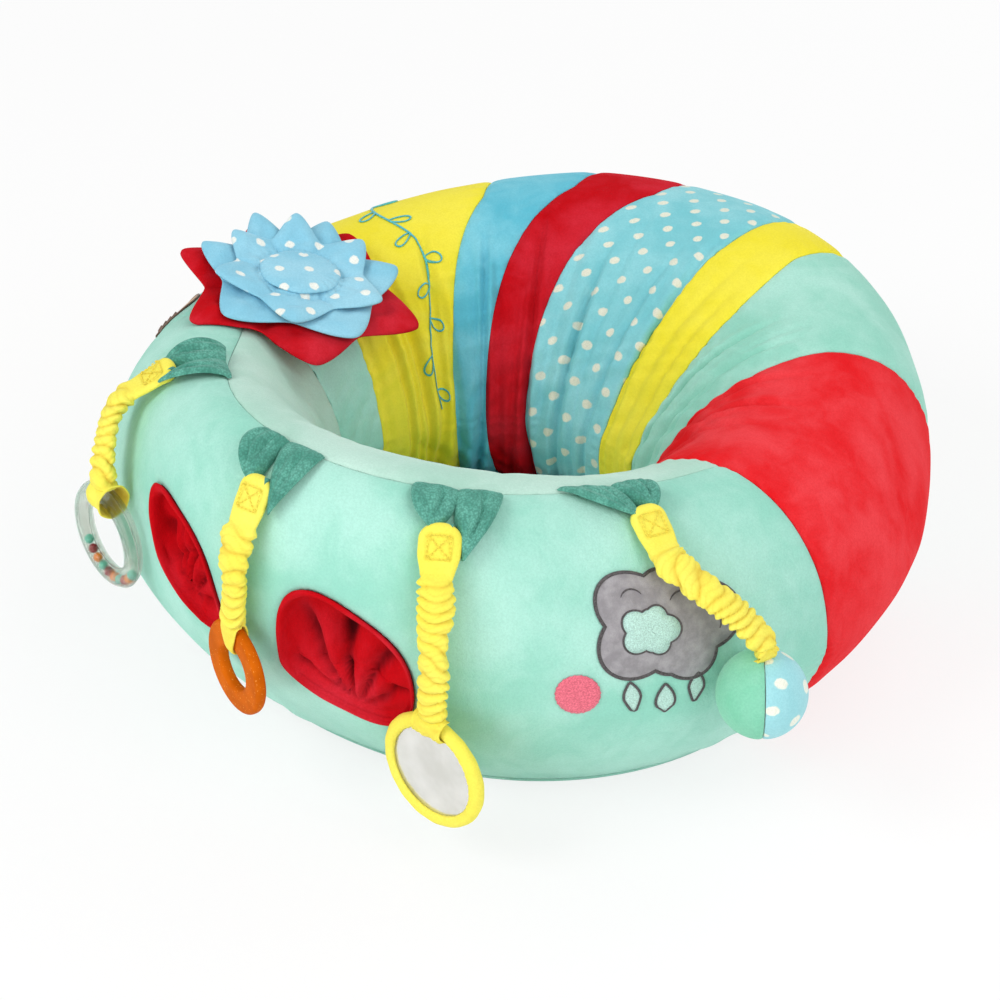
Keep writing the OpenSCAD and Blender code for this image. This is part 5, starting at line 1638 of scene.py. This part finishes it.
def make_mirror(seat):
    """Padded velour ring round a sheet of safe mirror film, its cloth back, and its strap."""
    facing = -3
    at = before_wall(seat, 30.7, 72, 27 + MIRROR_TUBE)
    place = toy_place(at, facing)
    hang = at + np.array([0, 0, MIRROR_R])
    strap = Strap(seat, "mirror", hang, facing, 5.9, 26, 34, 9, 14.0)
    sewn = cup(toy_place(hang, facing), 12.0, 7.6, 2.6, 100, 0.6, 1.4)
    # Painted shade on the sewn end: an uneven share of the darker fold colour
    make_strap(seat, strap, [(sewn, 0.10 + 0.35 * np.abs(ripple(sewn[0], 6, 14)))], 10.5, 7.4)
    # The padded ring, with the groove that holds the film
    profile, groove_r = arc(MIRROR_R, 0, MIRROR_TUBE, 0, 345, 24), 35.35
    r, z = profile.T
    profile[:, 0] = np.where((np.abs(z - 0.1) < 1.4) & (r < 36), groove_r, r)

    def padding(turn, r, z):
        """Fuller and thinner places round the ring, and puckers along the film's edge."""
        pucker = 0.28 * cos(turn * 46 + 50 * sin(turn * 5)) * (r < 36.5)
        pucker = pucker + 0.22 * sin(turn * 17 + z * 30)
        full = 0.25 * sin(turn * 3 + 40)
        grow = 1 + (pucker * 0.5 + full) / 5 * (np.abs(r - groove_r) > 0.05)
        return MIRROR_R + (r - MIRROR_R) * grow, z * grow
    ob = closed_piece("mirror_padding", [revolve(place, profile, 240, padding)], "mirror",
                      finishes(seat)["velour_sleeve"], "yellow_velour", ["mirror_frame"])
    turn = turns(3.0)
    rings = []
    for share, z in ((0.01, -1.15), (0.5, -1.3), (0.9, -1.35), (1, -1.0), (1, -0.4),
                     (0.97, 0.05), (0.5, 0.05), (0.01, 0.05)):
        r, wave = MIRROR_BACK_R * share, 0.12 * sin(turn * 5) * (z < -0.5)
        rings.append(place(stack(r * cos(turn), r * sin(turn), z + wave)))
    closed_piece("mirror_cloth_back", [tube(rings)], "mirror", finishes(seat)["velour_yellow"],
                 "yellow_velour", ["mirror_backing"])
    dress("mirror_sheet", mirror_film())


def ball_half(place, side):
    """Half of the ball's cover, with a dip along the seam, small puckers beside it and a
    few gathers near the top; and its cloth map, in mm from the half's middle."""
    wall, gap = 1.5, 0.15
    t = np.concatenate([np.arange(0.5, 78, 3.0), np.arange(78, 89.9, 1.2), [89.7]])[:, None]
    q = turns(4.0)[None, :]             # 0 is upwards
    d = (90 - t) / R2D * BALL_R
    out = (BALL_R - 1.1 * np.exp(-d / 2.0) + 0.28 * np.exp(-d / 5) * sin(q * 22 + 60 * sin(q * 3))
           - 0.5 * np.maximum(0, cos(q)) ** 8 * np.exp(-d / 9) * (1 + sin(q * 40)))

    def at(r):
        """The half's pole lies on the frame's x axis."""
        return place(stack(side * (r * cos(t) + gap), r * sin(t) * cos(q),
                           r * sin(t) * sin(q) * side))
    u, v = t / R2D * BALL_R * cos(q) + 7, t / R2D * BALL_R * sin(q) + 11
    uv = np.stack([u, v], -1).reshape(-1, 2)
    return hollow_ball(at(out), at(out - wall), True), np.concatenate([uv, uv])


def make_ball(seat):
    """Soft ball of a green and a dotted half, its stuffing, capsule and tag, and its strap."""
    outwards = 72
    at = before_wall(seat, outwards, 119, 2.2 + BALL_R)
    place = toy_place(at, 38)
    hang = at + np.array([0, 0, BALL_R + 3 + 0.3])
    strap = Strap(seat, "ball", hang, outwards, 3.3, 20, 14, 12, 12.5)
    loop = toy_place(hang, outwards)
    cloth = finishes(seat)
    ends = [cup(loop, 6.8, 4.8, 2.4, 98, 0.25, 1.2)]
    u, q = np.linspace(0, 1, 14)[:, None], turns(20.0)[None, :]
    swell = np.sin((u * 0.94 + 0.06) * math.pi) ** 0.6
    for s in (-1, 1):
        # Two gathered corners that lie against the top of the ball
        ends.append(tube(loop(stack(s * mix(2.5, 7.6, u) + 2.6 * swell * cos(q),
                                    mix(6.5, 0.2, u), 4.6 + 2.0 * swell * sin(q)))))
    # Painted shade on the ends: an uneven share of the darker fold colour
    make_strap(seat, strap, [(p, 0.1 + 0.35 * np.abs(ripple(p[0], 6, 15))) for p in ends],
               9.0, 6.5)
    for name, side, slot in (("green", -1, "mint_velour"), ("dotted", 1, "dotted_aqua_velour")):
        half, uv = ball_half(place, side)
        material = cloth["velour_ball_green" if name == "green" else "velour_ball_dots"]
        ob = closed_piece("ball_cover_" + name, [half], "ball", material, slot,
                          ["ball_%s_half" % name], uv)
    # Wadding round the capsule, a little uneven outside
    t, q = np.linspace(2, 178, 30)[:, None], turns(12.0)[None, :]
    n = stack(sin(t) * cos(q), cos(t), sin(t) * sin(q))
    r = 27.4 + 0.5 * ripple(n * 28, 14, 7)
    stuffing = hollow_ball(place(n * r[..., None]), place(n * 17.5), False)
    ob = closed_piece("ball_wadding", [stuffing], "ball", wadding(), "white_wadding",
                      ["ball_filling"])
    dress("ball_rattle", plastic("white_plastic", (0.93, 0.93, 0.92), 0.35))
    # Rolled tag that the strap holds
    x, q = np.linspace(-6, 6, 12)[:, None], turns(15.0)[None, :]
    r = 2.9 + 0.1 * sin(q * 3 + x * 40)
    tag = tube(loop(stack(x, r * cos(q), r * sin(q))))
    closed_piece("tag_roll", [tag], "ball", cloth["velour_sleeve"], "yellow_velour", ["ball_tag"])


# ------------------------------------------------------------------ flower

def flower_place(seat):
    """Frame of the flower on the left of the ring, with z its tilted axis, and its foot."""
    foot = seat.skin(*FLOWER_AT)
    z = unit(np.array([0.137, 0.107, 0.985]))
    x = unit(np.cross(outward(FLOWER_AT[0]), z))
    return Place(x, np.cross(z, x), z, foot + np.array([0, 0, 10.0])), foot


def top_z(seat, x, y):
    """Height of the plain ring above the floor at a place on its upper half."""
    a = np.degrees(np.arctan2(x, -(y + seat.shift)))
    r = np.hypot(x, y + seat.shift)
    h = seat.height(a)
    zc = seat.belly * h
    mid, half = (seat.reach(a) + seat.hollow) / 2, (seat.reach(a) - seat.hollow) / 2
    z = h
    for _ in range(3):
        off = (r - mid - seat.lean(a) * (z - zc)) / half
        z = zc + (h - zc) * np.sqrt(np.maximum(0, 1 - off ** 2))
    return z


# Petal layers: size, height of the seam, fullness, how far the edge rises in front and
# behind, each petal's direction, how far its tip stands up, cloth, slot, seed, ring of stitches
PETALS = 6
FLOWER_LAYERS = {
    "red": (92.0, 4.3, 7, (-3, 4), (10, 56, 104, 160, 224, 290), (3, 0, 2, -2, -1, -2),
            "velour_petal_red", "red_velour", 41, None),
    "blue": (92.0 * 0.84, 10.9, 5, (2, 12), (20, 62, 103, 172, 247, 326), (2, 5, 0, -3, -2, 0),
             "velour_petal_blue", "blue_velour", 42, None),
    "dotted": (92.0 * 0.70, 16.0, 5, (3, 12), (39, 86, 142, 212, 282, 350), (6, 0, 2, -2, -1, 2),
               "velour_petal_dots", "dotted_aqua_velour", 43, 31.5),
}


def petal_layer(seat, place, name):
    """One padded layer: its edge is pointed petals with rounded valleys. It swells between
    its seams, is drawn in along the valleys and at the ring of stitches, and hangs towards
    the cover, but never into it."""
    (size, low, thick, (front, back), tip_at, tip_lift, material, slot, seed,
     stitch) = FLOWER_LAYERS[name]
    t = turns(360 / (PETALS * 36))[None, :]
    turn = t * PETALS / 360                     # whole numbers at the petals' tips
    q = np.abs(turn % 1 - 0.5) * 2              # 0 in a valley, 1 at a tip
    s = np.concatenate([[0.01], np.linspace(0.08, 0.9, 26), [0.935, 0.965, 0.985, 0.995, 1.0]])
    s = s[:, None]
    # A straight-sided point with a little rounding in the valley
    point = (np.sqrt((1 - q) ** 2 + 0.012) - 0.1095) / 0.8965
    r = size * (0.735 + 0.265 * (1 - point) ** 1.55) * s
    lie = np.interp(turn, np.arange(PETALS + 1), [*tip_at, tip_at[0] + 360])
    x, y = r * cos(lie), r * sin(lie)
    tips = np.array(tip_lift, float)[np.round(turn).astype(int) % PETALS]
    rise = tips * ease((s - 0.45) / 0.55) * ease(q / 0.9)
    # Fullness: thin at the edge seam, drawn in along the valleys, full along the petals
    outer = ease((s - 0.3) / 0.4)
    puff = np.sqrt(np.clip(1 - s ** 7, 0, 1)) * (0.55 + 0.45 * q * outer + 0.45 * (1 - outer))
    puff = puff * (1 - 0.3 * s) * (1 + 0.55 * ease((s - 0.7) / 0.12) * q)
    wrinkle = (2.0 * ripple(stack(x, y, 0 * x), 24, seed) - 2.0 * bell(q / 0.10)) * ease(
        (s - 0.35) / 0.3) * (1 - s ** 6)
    if stitch:
        puff = puff * (1 - 0.55 * bell((r - stitch) / 1.3))
        wrinkle = wrinkle + 0.4 * np.exp(-np.abs(r - stitch) / 5) * sin(t * 29 + 50 * sin(t * 3))
    # The edge rises more behind, and the layer clears the ring under it
    behind = 0.5 + 0.5 * cos(np.degrees(np.arctan2(y, x)) - 38)
    p = place(stack(x, y, low))
    inner = np.maximum(0, -((p - place.o) @ outward(FLOWER_AT[0])))
    clear = top_z(seat, p[..., 0], p[..., 1]) - p[..., 2] + 2.6 + 0.24 * inner
    base = low + rise + np.maximum(mix(front, back, behind) * (r / size) ** 2, clear)
    top = base + thick * puff + wrinkle + 0.5
    under = np.minimum(base + 0.07 * thick * (1 - puff) + 0.1, top - 0.5)
    upper, lower = place(stack(x, y, top)), place(stack(x, y, under))
    uv = np.stack([x + 6, y + 4], -1)
    ob = closed_piece("layer_" + name, [tube(np.concatenate([lower, upper[::-1]]))], "flower",
                      finishes(seat)[material], slot, ["flower_%s_petals" % name],
                      np.concatenate([uv, uv[::-1]]).reshape(-1, 2))


def make_flower(seat):
    """Three padded layers of petals and a stitched centre on a cloth roll."""
    place, foot = flower_place(seat)
    cloth = finishes(seat)
    for name in FLOWER_LAYERS:
        petal_layer(seat, place, name)

    # The centre: a low cushion, puckered at its seam
    t, radius, low = turns(3.0), 30, 21.2
    rings, uv = [], []
    for share, z in ((0.01, 0.4), (0.6, 0.3), (0.95, 0.1), (1, 0.5), (0.985, 1.3), (0.95, 2.2),
                     (0.88, 3.0), (0.78, 3.7), (0.62, 4.3), (0.42, 4.7), (0.2, 4.9), (0.01, 5.0)):
        r = radius * share
        wide = r * (1 + 0.012 * sin(t * 7 + 30))
        x, y = wide * cos(t), wide * sin(t) * 0.97
        pucker = 0.3 * sin(t * 31 + 50 * sin(t * 2)) * (0.7 < share < 0.99)
        swell = 0.3 * ripple(stack(x, y, 0 * x), 18, 77) * (z > 2)
        rings.append(place(stack(x, y, low + z + pucker + swell)))
        uv.append(np.stack([r * cos(t) - 3, r * sin(t) * 0.97 + 5], -1))
    ob = closed_piece("flower_button", [tube(rings)], "flower", cloth["velour_petal_dots"],
                      "dotted_aqua_velour", ["flower_centre"], np.concatenate(uv))

    # The roll that it rocks on, on a short web sewn to the cover
    axis = unit(place.o - foot)
    roll = Place(place.x, unit(np.cross(axis, place.x)), axis, place.o)
    x, q = np.linspace(-8, 8, 14)[:, None], turns(15.0)[None, :]
    end = np.sqrt(np.clip(1 - (np.abs(x) / 8) ** 14, 0.1, 1))
    r = (3.9 + 0.08 * sin(q * 4 + x * 30)) * end
    z = np.linspace(-3, -9.8, 8)[:, None]
    parts = [tube(roll(stack(x, r * sin(q), r * cos(q)))),
             tube(roll(stack(7.6 * signed_pow(cos(q), 0.4), 1.9 * signed_pow(sin(q), 0.5), z)))]
    closed_piece("anchor_roll", parts, "seat", cloth["velour_petal_red"], "red_velour",
                 ["flower_anchor"])


# ------------------------------------------------------------------ stage

def staged(name, data, place=(0, 0, 0), aim=None):
    """An object of the stage at a place, pointed along aim."""
    ob = bpy.data.objects.new(name, data)
    bpy.context.scene.collection.objects.link(ob)
    ob.location = place
    if aim is not None:
        ob.rotation_mode = "QUATERNION"
        ob.rotation_quaternion = Vector(aim).to_track_quat("-Z", "Y")
    return ob


def make_floor():
    """White floor that keeps a soft shadow and is plain white far out."""
    half = 6.0
    floor = bpy.data.meshes.new("floor")
    floor.from_pydata([(-half, -half, 0), (half, -half, 0), (half, half, 0), (-half, half, 0)], [],
                      [(0, 1, 2, 3)])
    staged("floor", floor)
    f = Finish("floor_white")
    matt = f.node("ShaderNodeBsdfDiffuse", None, Color=(0.93, 0.93, 0.93))
    glowing = f.node("ShaderNodeEmission", None, Color=WHITE)
    share = f.seen() * f.range(f.length(f.object_place), 0.8, 2.6, 0.78, 1.0)
    f.surface(f.mixed(share, matt.outputs[0], glowing.outputs[0]))
    f.tree.nodes.remove(f.shader)
    floor.materials.append(f.material)


def make_background():
    """Background that is white to look at and dimmer as a light."""
    world = bpy.data.worlds.new("studio")
    bpy.context.scene.world = world
    world.use_nodes = True
    nodes = Nodes(world.node_tree)
    back = nodes.found("BACKGROUND").inputs
    nodes.put(back["Color"], WHITE)
    level = nodes.node("ShaderNodeMapRange", None, Value=nodes.seen(), To_Min=0.53, To_Max=1.0)
    nodes.put(back["Strength"], level.outputs[0])


def make_stage():
    """Floor, background, plain soft lights and the camera."""
    make_floor()
    make_background()
    # Lamps: place in m, diameter in m and power in W, all pointed at the seat
    for name, place, size, power in (
            ("key", (-0.9, -2.3, 2.4), 1.6, 40), ("fill", (2.4, -0.6, 1.9), 2.0, 30),
            ("back", (0.3, 2.2, 2.2), 2.0, 18), ("low", (0.2, -2.6, 0.45), 1.8, 14)):
        lamp = bpy.data.lights.new(name, "AREA")
        lamp.energy, lamp.size, lamp.shape = power, size, "DISK"
        staged(name, lamp, place, np.array([0, 0, 0.1]) - np.array(place))

    cam = bpy.data.cameras.new("camera")
    round_to, up, far, look_at = 38.0, 32.54, 2.2, np.array([0, 0, 0.120])
    towards = np.array([cos(up) * sin(round_to), -cos(up) * cos(round_to), sin(up)])
    bpy.context.scene.camera = staged("camera", cam, look_at + towards * far, -towards)
    cam.lens, cam.sensor_width = 109.02, 36
    cam.shift_x, cam.shift_y = -0.01888, -0.04572
    cam.clip_start, cam.clip_end = 0.05, 50
    bpy.context.scene.view_settings.view_transform = "Standard"


# ------------------------------------------------------------------ operators and panel

class SEAT_OT_front(bpy.types.Operator):
    """Make the front panel and the lip"""

    bl_idname = "floor_seat.front"
    bl_label = "Front and lip"

    def execute(self, context):
        make_front(Seat(context.scene))
        return {"FINISHED"}


class SEAT_OT_bands(bpy.types.Operator):
    """Make the coloured bands round the sides and back"""

    bl_idname = "floor_seat.bands"
    bl_label = "Bands"

    def execute(self, context):
        make_bands(Seat(context.scene))
        return {"FINISHED"}


class SEAT_OT_base(bpy.types.Operator):
    """Make the underside and the padded floor of the hollow"""

    bl_idname = "floor_seat.base"
    bl_label = "Base and floor pad"

    def execute(self, context):
        make_base(Seat(context.scene))
        make_floor_pad(Seat(context.scene))
        return {"FINISHED"}


class SEAT_OT_pockets(bpy.types.Operator):
    """Make the red lining bags of the two pockets"""

    bl_idname = "floor_seat.pockets"
    bl_label = "Pockets"

    def execute(self, context):
        make_pockets(Seat(context.scene))
        return {"FINISHED"}


class SEAT_OT_patches(bpy.types.Operator):
    """Make the embroidered spot, cloud, acorn and sprig"""

    bl_idname = "floor_seat.patches"
    bl_label = "Patches"

    def execute(self, context):
        make_patches(Seat(context.scene))
        return {"FINISHED"}


class SEAT_OT_bladder(bpy.types.Operator):
    """Make the vinyl ring under the cover"""

    bl_idname = "floor_seat.bladder"
    bl_label = "Bladder"

    def execute(self, context):
        make_bladder(Seat(context.scene))
        return {"FINISHED"}


class SEAT_OT_zip(bpy.types.Operator):
    """Make the zip and dress its slider, its pull and the valve"""

    bl_idname = "floor_seat.zip"
    bl_label = "Zip"

    def execute(self, context):
        make_zip(Seat(context.scene))
        return {"FINISHED"}


class SEAT_OT_leaves(bpy.types.Operator):
    """Make the four terry leaf tabs"""

    bl_idname = "floor_seat.leaves"
    bl_label = "Leaf tabs"

    def execute(self, context):
        make_leaves(Seat(context.scene))
        return {"FINISHED"}


class SEAT_OT_rattle(bpy.types.Operator):
    """Make the rattle ring, its beads and its strap"""

    bl_idname = "floor_seat.rattle"
    bl_label = "Rattle"

    def execute(self, context):
        make_rattle(Seat(context.scene))
        return {"FINISHED"}


class SEAT_OT_teether(bpy.types.Operator):
    """Make the teether and its strap"""

    bl_idname = "floor_seat.teether"
    bl_label = "Teether"

    def execute(self, context):
        make_teether(Seat(context.scene))
        return {"FINISHED"}


class SEAT_OT_mirror(bpy.types.Operator):
    """Make the mirror and its strap"""

    bl_idname = "floor_seat.mirror"
    bl_label = "Mirror"

    def execute(self, context):
        make_mirror(Seat(context.scene))
        return {"FINISHED"}


class SEAT_OT_ball(bpy.types.Operator):
    """Make the soft ball and its strap"""

    bl_idname = "floor_seat.ball"
    bl_label = "Ball"

    def execute(self, context):
        make_ball(Seat(context.scene))
        return {"FINISHED"}


class SEAT_OT_flower(bpy.types.Operator):
    """Make the three-layer flower"""

    bl_idname = "floor_seat.flower"
    bl_label = "Flower"

    def execute(self, context):
        make_flower(Seat(context.scene))
        return {"FINISHED"}


class SEAT_OT_stage(bpy.types.Operator):
    """Make the floor, lights, background and camera"""

    bl_idname = "floor_seat.stage"
    bl_label = "Stage"

    def execute(self, context):
        make_stage()
        return {"FINISHED"}


class SEAT_PT_panel(bpy.types.Panel):
    """Lists the steps that build the seat, with its sizes and colours"""

    bl_idname = "SEAT_PT_panel"
    bl_label = "Floor seat"
    bl_space_type = "VIEW_3D"
    bl_region_type = "UI"
    bl_category = "Floor seat"

    def draw(self, context):
        for step in STEPS:
            self.layout.operator(step.bl_idname)
        for group in (context.scene.floor_seat_sizes, context.scene.floor_seat_colours):
            for key in type(group).__annotations__:
                self.layout.prop(group, key)


STEPS = (SEAT_OT_front, SEAT_OT_bands, SEAT_OT_base, SEAT_OT_pockets, SEAT_OT_patches,
         SEAT_OT_bladder, SEAT_OT_zip, SEAT_OT_leaves, SEAT_OT_rattle, SEAT_OT_teether,
         SEAT_OT_mirror, SEAT_OT_ball, SEAT_OT_flower, SEAT_OT_stage)
CLASSES = (FloorSeatSizes, FloorSeatColours, *STEPS, SEAT_PT_panel)


def register():
    for c in CLASSES:
        bpy.utils.register_class(c)
    bpy.types.Scene.floor_seat_sizes = bpy.props.PointerProperty(type=FloorSeatSizes)
    bpy.types.Scene.floor_seat_colours = bpy.props.PointerProperty(type=FloorSeatColours)


def unregister():
    del bpy.types.Scene.floor_seat_sizes
    del bpy.types.Scene.floor_seat_colours
    for c in reversed(CLASSES):
        bpy.utils.unregister_class(c)


def main():
    """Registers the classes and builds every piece."""
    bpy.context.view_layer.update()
    register()
    for step in STEPS:
        group, name = step.bl_idname.split(".")
        getattr(getattr(bpy.ops, group), name)()


if __name__ == "__main__":
    main()
